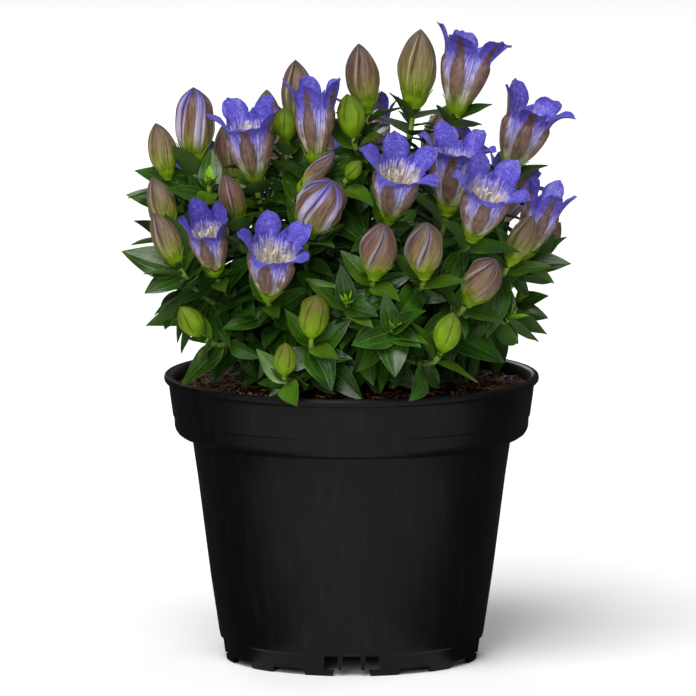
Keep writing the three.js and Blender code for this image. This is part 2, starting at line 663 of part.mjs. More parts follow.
// One stem with its head, still without leaves
function buildStem(shoot, head, leader) {
  const kind = KINDS[head.kind];
  const path = leader ? branchPath(leader, head) : leaderPath(shoot.root, head);
  const heading = headingOf(path.v3);
  const matrix = standing(head, heading);
  const headRings = kind.corolla ? calyxRings(head.size, kind.snug) : greenRings(head.size, kind);
  for (const ring of headRings) ring.forEach((point) => point.applyMatrix4(matrix));
  const pairs = pairsOn(path, head, !leader);
  const stations = leader
    ? stemRings(path, head, pairs, BRANCH_RADIUS * 0.85, BRANCH_RADIUS, 0.03)
    : stemRings(path, head, pairs, LEADER_RADIUS, BRANCH_RADIUS, 0);
  if (leader) {
    stations.unshift({ ring: [path.getPoint(0)] });
  } else {
    const foot = vec(path.v0.x, path.v0.y, soilHeight(...shoot.root) - ROOT_DEPTH);
    const ring = ringAcross(foot, UP, heading, LEADER_RADIUS, head.turn ?? 45);
    stations.unshift({ ring: [foot] }, { ring });
  }
  stations.push(...headRings.map((ring) => ({ ring })));
  return { path, head, pairs, stations, matrix, heading, headRings, blades: new Map() };
}

// The stem's solid, with each blade that has found room grown out of its side
function solidOfStem({ stations, blades }) {
  const points = stations.flatMap(({ ring }) => ring);
  const places = placesOf(stations.map(({ ring }) => ring));
  const faces = [];
  for (let r = 0; r + 1 < stations.length; r++) {
    const grown = stations[r].pair ? blades.get(stations[r].pair.index) : null;
    if (!grown) {
      faces.push(...facesBetween(places[r], places[r + 1]));
      continue;
    }
    for (let i = 0; i < STEM_SIDES; i++) {
      const next = (i + 1) % STEM_SIDES;
      const corners = [places[r][i], places[r][next], places[r + 1][next], places[r + 1][i]];
      const shape = grown.get(i);
      if (!shape) {
        faces.push([corners[0], corners[1], corners[2]], [corners[0], corners[2], corners[3]]);
        continue;
      }
      const start = points.length;
      points.push(...shape.points.slice(4));
      const placeOf = (k) => (k < 4 ? corners[k] : start + k - 4);
      faces.push(...shape.faces.map((face) => face.map(placeOf)));
    }
  }
  return solidOfFaces(points, faces);
}

function buildPlant(group, potSolid, soilSolid) {
  const obstacles = [obstacle('pot', null, potSolid), obstacle('soil', null, soilSolid)];
  const shoots = [];
  let corollas = 0;
  SHOOTS.forEach((shoot, s) => {
    const stemName = name('leafy_stem', s + 1);
    const stems = [];
    for (const head of shoot.heads) {
      const kind = KINDS[head.kind];
      const stem = buildStem(shoot, head, stems.length ? stems[0].path : null);
      stems.push(stem);
      const middle = stem.headRings[0].reduce((sum, point) => sum.add(point), vec(0, 0, 0));
      obstacles.push(obstacle(stemName, stem.path, solidOfStem(stem)));
      obstacles.push(obstacle(stemName, null, skin([[middle.divideScalar(LOBES)], ...stem.headRings])));
      if (!kind.corolla) continue;
      corollas += 1;
      const solid = kind.corolla(head.size, kind).transform(stem.matrix.elements);
      const isBell = kind.corolla === bell;
      const corollaName = name(isBell ? 'bell' : 'bud', corollas);
      obstacles.push(obstacle(corollaName, null, solid));
      group.add(meshOf(solid, corollaName, isBell ? PETAL_BLUE : BUD_BROWN));
    }
    shoots.push({ stemName, stems });
  });
  for (let index = 0; index < PAIRS.length; index++) {
    shoots.forEach(({ stemName, stems }, s) => {
      stems.forEach((stem, p) => {
        const pair = stem.pairs.find((each) => each.index === index);
        if (!pair) return;
        const station = stem.stations.findIndex((each) => each.pair === pair);
        const low = stem.stations[station].ring;
        const high = stem.stations[station + 1].ring;
        const grown = new Map();
        for (const side of [0, 1]) {
          const facing = Math.cos((pair.turn + side * 180) * DEGREE);
          if (facing < -0.3 && index >= (p === 0 || stem.head.kind === 'tip' ? 2 : 1)) continue;
          const i = (index + side * 2) % STEM_SIDES;
          const next = (i + 1) % STEM_SIDES;
          const corners = [low[i], low[next], high[next], high[i]];
          const seed = 1 + s * 61 + p * 17 + index * 3 + side * 1.7;
          for (const way of TRIES) {
            const shape = blade(corners, bladeFrame(stem.path, pair, side, seed, way));
            const solid = solidOfFaces(shape.points, [...shape.faces, ...BLADE_FOOT]);
            if (!isClear(solid, stemName, stem.path, obstacles)) continue;
            grown.set(i, shape);
            obstacles.push(obstacle(stemName, null, solid));
            break;
          }
        }
        stem.blades.set(index, grown);
      });
    });
  }
  for (const { stemName, stems } of shoots) {
    const joined = wasm.Manifold.union(stems.map(solidOfStem)).simplify(SCRAP);
    group.add(meshOf(joined, stemName, LEAF_GREEN));
  }
}

const plant = new THREE.Group();
const potSolid = pot();
const soilSolid = soil();
plant.add(meshOf(potSolid, 'pot', POLYPROPYLENE), meshOf(soilSolid, 'soil', PEAT));
buildPlant(plant, potSolid, soilSolid);

export default plant;
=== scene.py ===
# A potted Japanese gentian, dressed round its frame: moulded pot, peat, leafy stems, bells and buds.
# Lengths in the mesh code are millimetres and become metres where a mesh is made. The front looks at -Y.
# Two notes at each point tell the materials where they are: "zone" is the place on the leaf, petal or stalk,
# and "tone" holds what sets that leaf, petal or crumb apart.
import functools
import math

import bpy
import numpy as np
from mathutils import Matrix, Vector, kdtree, noise


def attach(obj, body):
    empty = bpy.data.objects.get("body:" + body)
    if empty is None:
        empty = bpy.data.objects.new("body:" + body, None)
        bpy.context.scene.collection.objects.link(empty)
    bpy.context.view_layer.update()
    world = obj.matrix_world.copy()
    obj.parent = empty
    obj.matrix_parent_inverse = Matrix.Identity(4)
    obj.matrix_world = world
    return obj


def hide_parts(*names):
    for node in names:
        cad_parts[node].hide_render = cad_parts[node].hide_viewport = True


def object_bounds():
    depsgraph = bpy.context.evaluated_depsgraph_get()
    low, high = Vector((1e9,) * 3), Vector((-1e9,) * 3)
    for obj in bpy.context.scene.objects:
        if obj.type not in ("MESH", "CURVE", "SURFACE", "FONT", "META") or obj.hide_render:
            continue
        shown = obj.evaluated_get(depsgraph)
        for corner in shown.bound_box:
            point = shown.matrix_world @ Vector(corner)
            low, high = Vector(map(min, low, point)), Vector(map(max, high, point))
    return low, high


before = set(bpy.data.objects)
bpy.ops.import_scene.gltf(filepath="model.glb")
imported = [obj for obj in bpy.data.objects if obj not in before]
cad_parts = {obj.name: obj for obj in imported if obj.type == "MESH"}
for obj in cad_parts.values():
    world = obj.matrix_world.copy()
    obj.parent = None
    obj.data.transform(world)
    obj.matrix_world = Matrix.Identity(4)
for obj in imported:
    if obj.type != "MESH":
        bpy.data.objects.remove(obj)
CAD_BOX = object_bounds()

bl_info = {
    "name": "Potted Japanese Gentian",
    "version": (1, 0, 0),
    "blender": (4, 5, 0),
    "location": "View3D > Sidebar > Gentian",
    "description": "Builds a nursery pot of flowering gentian in fine detail",
    "category": "Object",
}

MM = 0.001
DEGREE = math.pi / 180
UP = np.array([0.0, 0.0, 1.0])
LOBES = 5

# Potting mix and stems, as the frame has them
SOIL_RADIUS = 80
SOIL_HEIGHT = 124.5
SOIL_MOUND = 3.2
SOIL_FOOT = 11.9
NODE_HEIGHT = 1.5
LEADER_RADIUS = 1.8
BRANCH_RADIUS = 1.35
ROOT_DEPTH = 11
# The mix's open part, and how high small leaves stay above it and above the pot's lip
OPEN_MIX = 78
MIX_CLEARANCE = 129.5
LIP_REACH = 89
LIP_CLEARANCE = 134

# Heads of size 1
BELL_TUBE = 25
BELL_ROOM = 40
BUD_LENGTH = 31
BUD_ROOM = 9.2

# Leaves
BLADE_HALF_WIDTH = 0.235
# Pairs of leaves down a stem: how far below its head, length, degrees upward and how far the tip hangs
PAIRS = [
    {"below": 5, "length": 20, "lift": 34, "arch": 0.14},
    {"below": 13, "length": 25, "lift": 24, "arch": 0.2},
    {"below": 25, "length": 30, "lift": 14, "arch": 0.24},
    {"below": 39, "length": 32, "lift": 6, "arch": 0.28},
    {"below": 55, "length": 31, "lift": 2, "arch": 0.3},
    {"below": 73, "length": 29, "lift": 0, "arch": 0.3},
]
# How near a blade's tip lies to a corner of the frame's solid if it is that blade
SAME_TIP = 0.12
LEADER_PAIRS = 6
BRANCH_PAIRS = 2
TIP_PAIRS = 3
TIP_SHIFT = 2.6
# Ways to turn a blade that has no room: degrees round the stem, degrees up, share of its length
TRIES = [
    (0, 0, 1), (0, 14, 1), (0, -14, 1), (18, 0, 1), (-18, 0, 1), (20, 14, 0.95), (-20, 14, 0.95),
    (22, -14, 0.95), (-22, -14, 0.95), (0, 28, 0.95), (0, -28, 0.95), (34, 6, 0.9), (-34, 6, 0.9),
    (26, 26, 0.9), (-26, 26, 0.9), (26, -26, 0.9), (-26, -26, 0.9), (0, 0, 0.75), (40, 16, 0.8),
    (-40, 16, 0.8),
]
FILL_TRIES = 15
# Length and lift of the smaller leaves, by how far below the stem's head they stand
FILL_LENGTH = [(0, 13), (12, 22), (35, 31), (60, 32), (110, 28)]
FILL_LIFT = [(0, 55), (12, 30), (30, 12), (60, 4), (120, -6)]


def head_of(kind, at, to, size, turn=45, **more):
    """A head: its kind, where its calyx stands, which way it looks, its size, how far its leaves are turned
    round the stem, and what else sets it apart."""
    return {"kind": kind, "at": at, "to": to, "size": size, "turn": turn, **more}


# Shoots: where each stands in the mix, and its heads. Every head after the first leaves the first one's stem
# at the share `fork` of it.
SHOOTS = [
    ((-24, -4), [
        head_of("bud", (-71, -5, 226), (0, 0.04, 1), 1.12, ripe=1.0),
        head_of("bud", (-83, -8, 220), (-0.2, 0.08, 0.97), 0.82, fork=0.7, turn=0, ripe=0.3),
        head_of("tip", (-64, -28, 219), (0.02, -0.4, 0.95), 0.9, fork=0.72),
    ]),
    ((-30, -15), [
        head_of("bud", (-78, -48, 186), (-0.4, 0.05, 0.9), 0.82, turn=10, ripe=0.45),
        head_of("bud", (-81, -32, 200), (-0.36, 0.1, 0.9), 0.8, fork=0.7, turn=-10, ripe=0.4),
        head_of("tip", (-76, -24, 172), (-0.7, -0.1, 0.7), 0.9, fork=0.55),
    ]),
    ((-16, -15), [
        head_of("bell", (-43, -44, 223), (-0.12, -0.26, 0.96), 1.0, roll=30),
        head_of("bud", (-38, -22, 237), (-0.02, 0.2, 0.97), 0.8, fork=0.7, ripe=0.35),
        head_of("green", (-29, -30, 239), (-0.06, 0.1, 0.97), 0.72, fork=0.78),
    ]),
    ((-7, -8), [
        head_of("cup", (-16, -40, 231), (-0.01, -0.05, 1), 1.05),
        head_of("bud", (-24, -12, 243), (-0.02, 0.16, 0.98), 1.0, fork=0.66, ripe=0.55),
    ]),
    ((3, -14), [
        head_of("bud", (7, -18, 252), (-0.13, 0.06, 0.98), 0.98, ripe=0.6),
        head_of("green", (1, -38, 242), (-0.12, 0.02, 0.99), 0.9, fork=0.74),
        head_of("green", (-2, -50, 225), (0.5, -0.45, 0.72), 0.52, fork=0.6),
    ]),
    ((10, -2), [
        head_of("bud", (28, -6, 252), (0.1, 0.08, 0.99), 1.14, ripe=0.3),
        head_of("bell", (47, -2, 248), (0.22, 0.08, 0.97), 1.05, fork=0.66, roll=30),
    ]),
    ((24, 0), [
        head_of("bell", (71, 2, 222), (0.34, -0.14, 0.93), 1.02, roll=-12),
        head_of("cup", (77, -30, 187), (0.36, -0.1, 0.92), 0.98, fork=0.55, roll=20, turn=0),
        head_of("bud", (71, -50, 187), (0.42, -0.12, 0.9), 0.78, fork=0.5, ripe=0.3),
    ]),
    ((18, -13), [
        head_of("bell", (43, -42, 209), (0.14, -0.22, 0.96), 1.02, roll=21),
        head_of("bell", (54, -62, 200), (0.26, -0.46, 0.85), 1.0, fork=0.66, roll=34),
    ]),
    ((9, -25), [
        head_of("bell", (17, -58, 208), (0.16, -0.5, 0.85), 1.0, roll=33),
        head_of("plump", (10, -74, 184), (0.15, -0.29, 0.94), 0.96, fork=0.55, ripe=0.7),
        head_of("plump", (32.5, -72, 184), (0, -0.29, 0.96), 0.96, fork=0.5, ripe=0.45),
    ]),
    ((28, -20), [
        head_of("plump", (52, -65, 171), (0.5, -0.3, 0.81), 0.92, ripe=0.6),
        head_of("tip", (70, -42, 160), (0.7, -0.3, 0.65), 0.95, fork=0.55),
        head_of("tip", (74, -12, 164), (0.7, -0.05, 0.7), 0.95, fork=0.45),
    ]),
    ((-3, -27), [
        head_of("furled", (-19, -64, 202), (0.3, -0.36, 0.88), 1.02, ripe=1.2),
        head_of("withered", (-23, -50, 219), (0.62, -0.12, 0.77), 0.72, fork=0.72, ripe=0.9),
    ]),
    ((-15, -29), [
        head_of("bell", (-37, -64, 173.5), (0.08, -0.56, 0.83), 1.02, roll=0),
        head_of("bud", (-50, -52, 207), (-0.3, -0.3, 0.9), 0.74, fork=0.62, ripe=0.75),
    ]),
    ((-28, -27), [
        head_of("cup", (-61, -52, 183), (-0.14, -0.56, 0.81), 0.98, roll=24),
        head_of("green", (-67, -58, 155), (-0.6, -0.15, 0.77), 0.76, fork=0.35),
    ]),
    ((-8, -40), [
        head_of("green", (-18, -80, 157), (0.08, -0.3, 0.95), 0.95, ripe=1.0),
        head_of("green", (-30, -80, 140), (0.03, -0.3, 0.95), 0.74, fork=0.45, ripe=0.7),
    ]),
    ((12, -39), [
        head_of("tip", (-2, -78, 172), (-0.02, -0.62, 0.78), 0.95),
        head_of("tip", (18, -80, 161), (0.05, -0.6, 0.8), 1, fork=0.6),
        head_of("green", (40, -76, 150), (0.3, -0.2, 0.93), 0.88, fork=0.4),
    ]),
    ((-25, 13), [
        head_of("bell", (-60, 36, 192), (-0.35, 0.36, 0.86), 0.98, roll=25),
        head_of("bud", (-78, 20, 188), (-0.5, 0.12, 0.86), 0.86, fork=0.6, ripe=0.5),
        head_of("green", (-68, 44, 158), (-0.5, 0.5, 0.7), 0.8, fork=0.42),
    ]),
    ((-12, 10), [
        head_of("bell", (-30, 40, 210), (-0.2, 0.32, 0.92), 1.0, roll=0),
        head_of("bud", (-52, 18, 212), (-0.2, 0.08, 0.97), 0.95, fork=0.66, ripe=0.65),
    ]),
    ((-13, 29), [
        head_of("bell", (-10, 66, 196), (-0.05, 0.55, 0.83), 1.0, roll=40),
        head_of("bud", (-36, 70, 178), (-0.25, 0.45, 0.85), 0.9, fork=0.6, ripe=0.8),
        head_of("green", (-14, 82, 154), (-0.1, 0.6, 0.78), 0.85, fork=0.45),
    ]),
    ((7, 13), [
        head_of("cup", (8, 38, 216), (0.02, 0.22, 0.97), 1.0),
        head_of("bud", (36, 28, 218), (0.22, 0.18, 0.96), 1.0, fork=0.66, ripe=0.5),
    ]),
    ((15, 29), [
        head_of("bell", (36, 56, 200), (0.3, 0.46, 0.83), 1.0, roll=15),
        head_of("bud", (20, 76, 176), (0.12, 0.5, 0.85), 0.88, fork=0.55, ripe=0.7),
        head_of("tip", (42, 76, 156), (0.3, 0.7, 0.65), 1, fork=0.42),
    ]),
    ((28, 15), [
        head_of("bell", (62, 34, 190), (0.42, 0.32, 0.85), 0.95, roll=50),
        head_of("bud", (78, 18, 176), (0.62, 0.12, 0.77), 0.85, fork=0.58, ripe=0.6),
        head_of("green", (64, 50, 158), (0.5, 0.5, 0.7), 0.8, fork=0.42),
    ]),
]

# How far a single leaf's tip hangs below the line it starts on, as a share of its length
SINGLE_ARCH = 0.14
# Single leaves that stand out in the clump's outline and front: the shoot and its stem, the share of the stem
# that carries the leaf, where its tip is, its width against a common leaf's, and what its upper side looks at
SINGLE_LEAVES = [
    (0, 0, 0.88, (-98, -12, 224), 0.95, (0, -0.7, 0.7)),
    (0, 1, 0.45, (-102, -4, 212), 1.0, (0.1, -0.8, 0.6)),
    (15, 1, 0.9, (-98.5, 5, 199), 0.85, (0, -0.7, 0.7)),
    (1, 0, 0.97, (-103.5, -40, 191), 1.15, (-0.1, -0.85, 0.5)),
    (1, 0, 0.93, (-93, -56, 174), 1.25, (-0.2, -0.85, 0.5)),
    (1, 2, 0.9, (-84, -44, 156), 1.1, (-0.3, -0.8, 0.5)),
    (6, 1, 0.85, (99, -30, 184), 1.0, (0, -0.7, 0.7)),
    (20, 1, 0.9, (97.5, 10, 191), 0.85, (0, -0.7, 0.7)),
    (6, 0, 0.97, (83, -2, 224.5), 0.8, (0, -0.5, 0.85)),
    (5, 1, 0.97, (63.5, -6, 253.5), 0.9, (0, -0.5, 0.85)),
    (9, 2, 0.93, (89, -14, 157), 1.1, (0.2, -0.8, 0.5)),
    (9, 1, 0.9, (75, -48, 150), 1.15, (0.3, -0.8, 0.5)),
    (9, 2, 0.98, (89, -20, 168), 1.0, (0.2, -0.8, 0.6)),
    (13, 0, 0.85, (-9, -83, 133.5), 1.5, (0.1, -0.9, 0.45)),
    (15, 0, 0.5, (-66, 15, 163), 1.4, (0, -0.9, 0.4)),
    (15, 0, 0.35, (-50, 20, 178), 1.4, (0, -0.9, 0.4)),
    (16, 0, 0.6, (-30, 14, 201), 1.4, (0, -0.9, 0.4)),
    (18, 1, 0.3, (42, 25, 203), 1.4, (0, -0.9, 0.4)),
    (18, 1, 0.6, (44, 20, 190), 1.4, (0, -0.9, 0.4)),
    (20, 0, 0.75, (72, 24, 196), 1.2, (0, -0.9, 0.4)),
    (14, 0, 0.99, (-5, -84, 191), 1.0, (0, -0.75, 0.65)),
    (14, 0, 0.98, (12, -88, 168), 1.1, (0, -0.75, 0.65)),
    (14, 0, 0.98, (-14.5, -86, 181), 1.0, (0, -0.75, 0.65)),
    (14, 1, 0.99, (14.5, -88, 179), 0.95, (0.05, -0.75, 0.65)),
    (14, 1, 0.98, (33, -90, 171), 1.05, (0.05, -0.75, 0.65)),
    (14, 1, 0.96, (0, -92, 155.5), 1.3, (0.05, -0.85, 0.5)),
    (14, 1, 0.95, (31, -91, 154.5), 1.25, (0.05, -0.85, 0.5)),
    (14, 1, 0.9, (19.5, -91, 141), 1.4, (0.05, -0.9, 0.4)),
]
# Kinds of head: share of a bell's or bud's length and width, how yellow the leaves near it are, how far the
# lobes flare, and how twisted, loose and striped a bud is
KINDS = {
    "bell": dict(corolla="bell", length=1, width=1, flare=1, young=0.14),
    "cup": dict(corolla="bell", length=0.95, width=0.82, flare=0.5, young=0.14),
    "bud": dict(corolla="bud", length=1, width=1, twist=0.5, young=0.16, loose=0.3, stripes=0.1),
    "plump": dict(corolla="bud", length=0.88, width=1.14, twist=1.3, young=0.16, loose=0.45, stripes=0.22),
    "furled": dict(corolla="bud", length=0.92, width=1.35, twist=0.7, young=0.16, loose=1, stripes=1),
    "withered": dict(corolla="bud", length=1.1, width=0.75, twist=2.2, young=0.16, loose=0.9, stripes=0.4),
    "green": dict(corolla=None, length=0.72, width=0.92, twist=0.5, young=0.2, loose=0.15, stripes=0.1),
    "tip": dict(corolla=None, length=0.2, width=0.42, young=0.2),
}


# Numbers and vectors


def chance(seed):
    """A number from 0 to 1 that looks random, and is the same each time for the same seed."""
    wave = math.sin(seed * 12.9898 + 4.1414) * 43758.5453
    return wave - math.floor(wave)


def unit(v):
    """The direction of v, at length 1."""
    v = np.asarray(v, float)
    return v / np.linalg.norm(v)


def smooth(x, low, high):
    """0 below low, 1 above high, and a soft step between them."""
    t = np.clip((x - low) / (high - low), 0, 1)
    return t * t * (3 - 2 * t)


def through(points, x):
    """A smooth curve through (x, y) points that never overshoots them."""
    px, py = np.array(points, float).T
    slope = np.diff(py) / np.diff(px)
    tangent = np.zeros(len(px))
    inner = slope[:-1] * slope[1:] > 0
    tangent[1:-1][inner] = 2 / (1 / slope[:-1][inner] + 1 / slope[1:][inner])
    tangent[0], tangent[-1] = slope[0], slope[-1]
    x = np.clip(x, px[0], px[-1])
    i = np.clip(np.searchsorted(px, x) - 1, 0, len(slope) - 1)
    h = px[i + 1] - px[i]
    t = (x - px[i]) / h
    rise = (2 * t**3 - 3 * t**2 + 1) * py[i] + (3 * t**2 - 2 * t**3) * py[i + 1]
    return rise + h * ((t**3 - 2 * t**2 + t) * tangent[i] + (t**3 - t**2) * tangent[i + 1])


def soil_height(x, y):
    """The frame's own top of the mix: a low mound with soft lumps."""
    share = min(1.0, math.hypot(x, y) / SOIL_RADIUS)
    lumps = math.sin(x * 0.19 + 1.3) * math.cos(y * 0.17) + 0.5 * math.sin((x - y) * 0.31)
    return SOIL_HEIGHT + SOIL_MOUND * (1 - share * share) + 0.8 * lumps * (1 - share**6)


# Meshes


def in_scene(name, points, faces):
    """A new object of points in metres and the faces between them."""
    mesh = bpy.data.meshes.new(name)
    mesh.from_pydata(points, [], faces)
    made = bpy.data.objects.new(name, mesh)
    bpy.context.scene.collection.objects.link(made)
    return made


class Build:
    """Gathers grids of points into one mesh, with what each point tells its material."""

    def __init__(self):
        self.points = []
        self.faces = []
        self.slots = []
        self.notes = {"zone": [], "tone": []}
        self.count = 0

    def take(self, points, faces, slot=0, zone=(0, 0, 0), tone=(0, 0, 0)):
        points = np.asarray(points, float).reshape(-1, 3)
        self.points.append(points)
        self.faces.extend([[k + self.count for k in face] for face in faces])
        self.slots.extend([slot] * len(faces))
        for key, note in (("zone", zone), ("tone", tone)):
            self.notes[key].append(np.broadcast_to(np.asarray(note, float), points.shape))
        self.count += len(points)

    def solid(self, name):
        """The mesh alone, as an object."""
        return in_scene(name, (np.vstack(self.points) * MM).tolist(), self.faces)

    def piece(self, name, materials, slot, *nodes):
        """The finished mesh as an object that rides with the plant and stands for its nodes."""
        made = self.solid(name)
        mesh = made.data
        for material in materials:
            mesh.materials.append(material)
        mesh.polygons.foreach_set("material_index", self.slots)
        for key, notes in self.notes.items():
            layer = mesh.attributes.new(key, "FLOAT_VECTOR", "POINT")
            layer.data.foreach_set("vector", np.vstack(notes).astype(np.float32).ravel())
        mesh.shade_smooth()
        mesh.set_sharp_from_angle(angle=62 * DEGREE)
        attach(made, "root")
        if nodes:
            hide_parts(*nodes)
        return made


def hoop(centre, x, y, radius, sides):
    """Points on a circle, from the direction x towards y."""
    turns = [k * 2 * math.pi / sides for k in range(sides)]
    return [centre + radius * (x * math.cos(a) + y * math.sin(a)) for a in turns]


def closed(rows, columns):
    """A closed tube's faces: quads between its rings, and a fan at each end to one of two last points."""
    faces = []
    for r in range(rows - 1):
        for c in range(columns):
            a = r * columns + c
            b = r * columns + (c + 1) % columns
            faces.append([a, b, b + columns, a + columns])
    last = rows * columns
    for start, point, way in ((0, last, -1), (last - columns, last + 1, 1)):
        for c in range(columns):
            faces.append([start + c, start + (c + 1) % columns, point][::way])
    return faces


# Stems, retraced from the frame's own rule


class Path:
    """A cubic Bezier curve."""

    def __init__(self, a, b, c, d):
        self.corners = [np.asarray(p, float) for p in (a, b, c, d)]
        steps = np.array([self.point(t) for t in np.linspace(0, 1, 201)])
        self.length = float(np.linalg.norm(np.diff(steps, axis=0), axis=1).sum())
        self.heading = unit(self.corners[3] * (1, 1, 0))

    def point(self, t):
        a, b, c, d = self.corners
        s = 1 - t
        return s**3 * a + 3 * s * s * t * b + 3 * s * t * t * c + t**3 * d

    def tangent(self, t):
        a, b, c, d = self.corners
        s = 1 - t
        return unit(s * s * (b - a) + 2 * s * t * (c - b) + t * t * (d - c))

    def across(self, t):
        return across(self.tangent(t), self.heading)


def across(tangent, heading):
    """Two directions across a stem: the one that looks away from the clump's middle, and one beside it."""
    away = unit(heading - UP)
    away = unit(away - tangent * away.dot(tangent))
    return away, np.cross(tangent, away)


def leader_path(root, head):
    """A shoot's first stem, from the mix up to its head."""
    foot = np.array([*root, soil_height(*root) + 1.5])
    end = np.array(head["at"], float)
    reach = np.linalg.norm(end - foot)
    rise = (end - foot) * (0.12, 0.12, 0) + (0, 0, reach * 0.4)
    return Path(foot, foot + rise, end - unit(head["to"]) * reach * 0.32, end)


def branch_path(leader, head):
    """A side stem, which leaves the first one at a share of it."""
    foot = leader.point(head["fork"])
    end = np.array(head["at"], float)
    reach = np.linalg.norm(end - foot)
    out = unit(leader.tangent(head["fork"]) + unit(end - foot)) * reach * 0.34
    return Path(foot, foot + out, end - unit(head["to"]) * reach * 0.4, end)


def pairs_on(path, head, is_leader):
    """The pairs of leaves that a stem has room for, each at its share of the path."""
    is_tip = head["kind"] == "tip"
    most = LEADER_PAIRS if is_leader else TIP_PAIRS if is_tip else BRANCH_PAIRS
    found = []
    for index, pair in enumerate(PAIRS[:most]):
        below = pair["below"] * 0.75 - TIP_SHIFT / 2 if is_tip else pair["below"]
        if below < path.length * (0.92 if is_leader else 0.84):
            turn = head["turn"] + index * 90
            found.append({**pair, "index": index, "t": 1 - below / path.length, "turn": turn})
    return found


def blade_frame(path, pair, side, seed, way):
    """How a blade runs, and its upper side, for one way of turning it."""
    swing, lift, share = way
    tangent = path.tangent(pair["t"])
    away, beside = path.across(pair["t"])
    angle = (pair["turn"] + side * 180 + (chance(seed) - 0.5) * 30 + swing) * DEGREE
    raised = (pair["lift"] + (chance(seed + 0.37) - 0.5) * 20 + lift) * DEGREE
    along = away * math.cos(angle) + beside * math.sin(angle)
    along = unit(along * math.cos(raised) + tangent * math.sin(raised))
    return {
        "along": along,
        "upper": unit(tangent - along * tangent.dot(along)),
        "length": pair["length"] * share * (0.88 + 0.26 * chance(seed + 0.71)),
        "arch": pair["arch"] * (0.7 + 0.6 * chance(seed + 0.13)),
    }


def blade_root(path, pair, head, corner, radius):
    """The middle of the stem's side that a blade grows from, and the stem's own line there."""
    half = NODE_HEIGHT / 2 / path.length
    middle = np.zeros(3)
    for t in (pair["t"] - half, pair["t"] + half):
        away, beside = path.across(t)
        for k in (corner, corner + 1):
            angle = (k - 0.5) * math.pi / 2 + head["turn"] * DEGREE
            spread = away * math.cos(angle) + beside * math.sin(angle)
            middle += (path.point(t) + spread * (radius[0] + (radius[1] - radius[0]) * t)) / 4
    return middle


def tip_of(root, blade):
    """Where a blade ends."""
    return root + blade["length"] * (blade["along"] - blade["upper"] * blade["arch"])


def standing(head, heading):
    """The matrix that stands a head, made along +Z, on its stem."""
    up = unit(head["to"])
    away, beside = across(up, heading)
    roll = head.get("roll", 0) * DEGREE
    x = away * math.cos(roll) + beside * math.sin(roll)
    return np.column_stack([x, np.cross(up, x), up]), np.array(head["at"], float)


def placed(points, stand):
    """Points from a head's own space to the plant's."""
    turn, at = stand
    return np.asarray(points, float).reshape(-1, 3) @ turn.T + at


class Stem:
    """One stem with its head."""

    def __init__(self, root, head, leader, seed):
        self.head = head
        self.kind = KINDS[head["kind"]]
        self.leader = leader
        self.path = branch_path(leader.path, head) if leader else leader_path(root, head)
        self.radius = (BRANCH_RADIUS * 0.85, BRANCH_RADIUS) if leader else (LEADER_RADIUS, BRANCH_RADIUS)
        self.pairs = pairs_on(self.path, head, leader is None)
        self.stand = standing(head, self.path.heading)
        self.seed = seed
        self.node = None


def shoots():
    """Each shoot's node and its stems, whose bells and buds are numbered in one run."""
    found = []
    number = 0
    for s, (root, heads) in enumerate(SHOOTS):
        stems = []
        for p, head in enumerate(heads):
            stem = Stem(root, head, stems[0] if stems else None, 1 + s * 61 + p * 17)
            if stem.kind["corolla"]:
                number += 1
                stem.node = f"{stem.kind['corolla']}_{number:02d}"
            stems.append(stem)
        found.append((f"leafy_stem_{s + 1:02d}", stems))
    return found


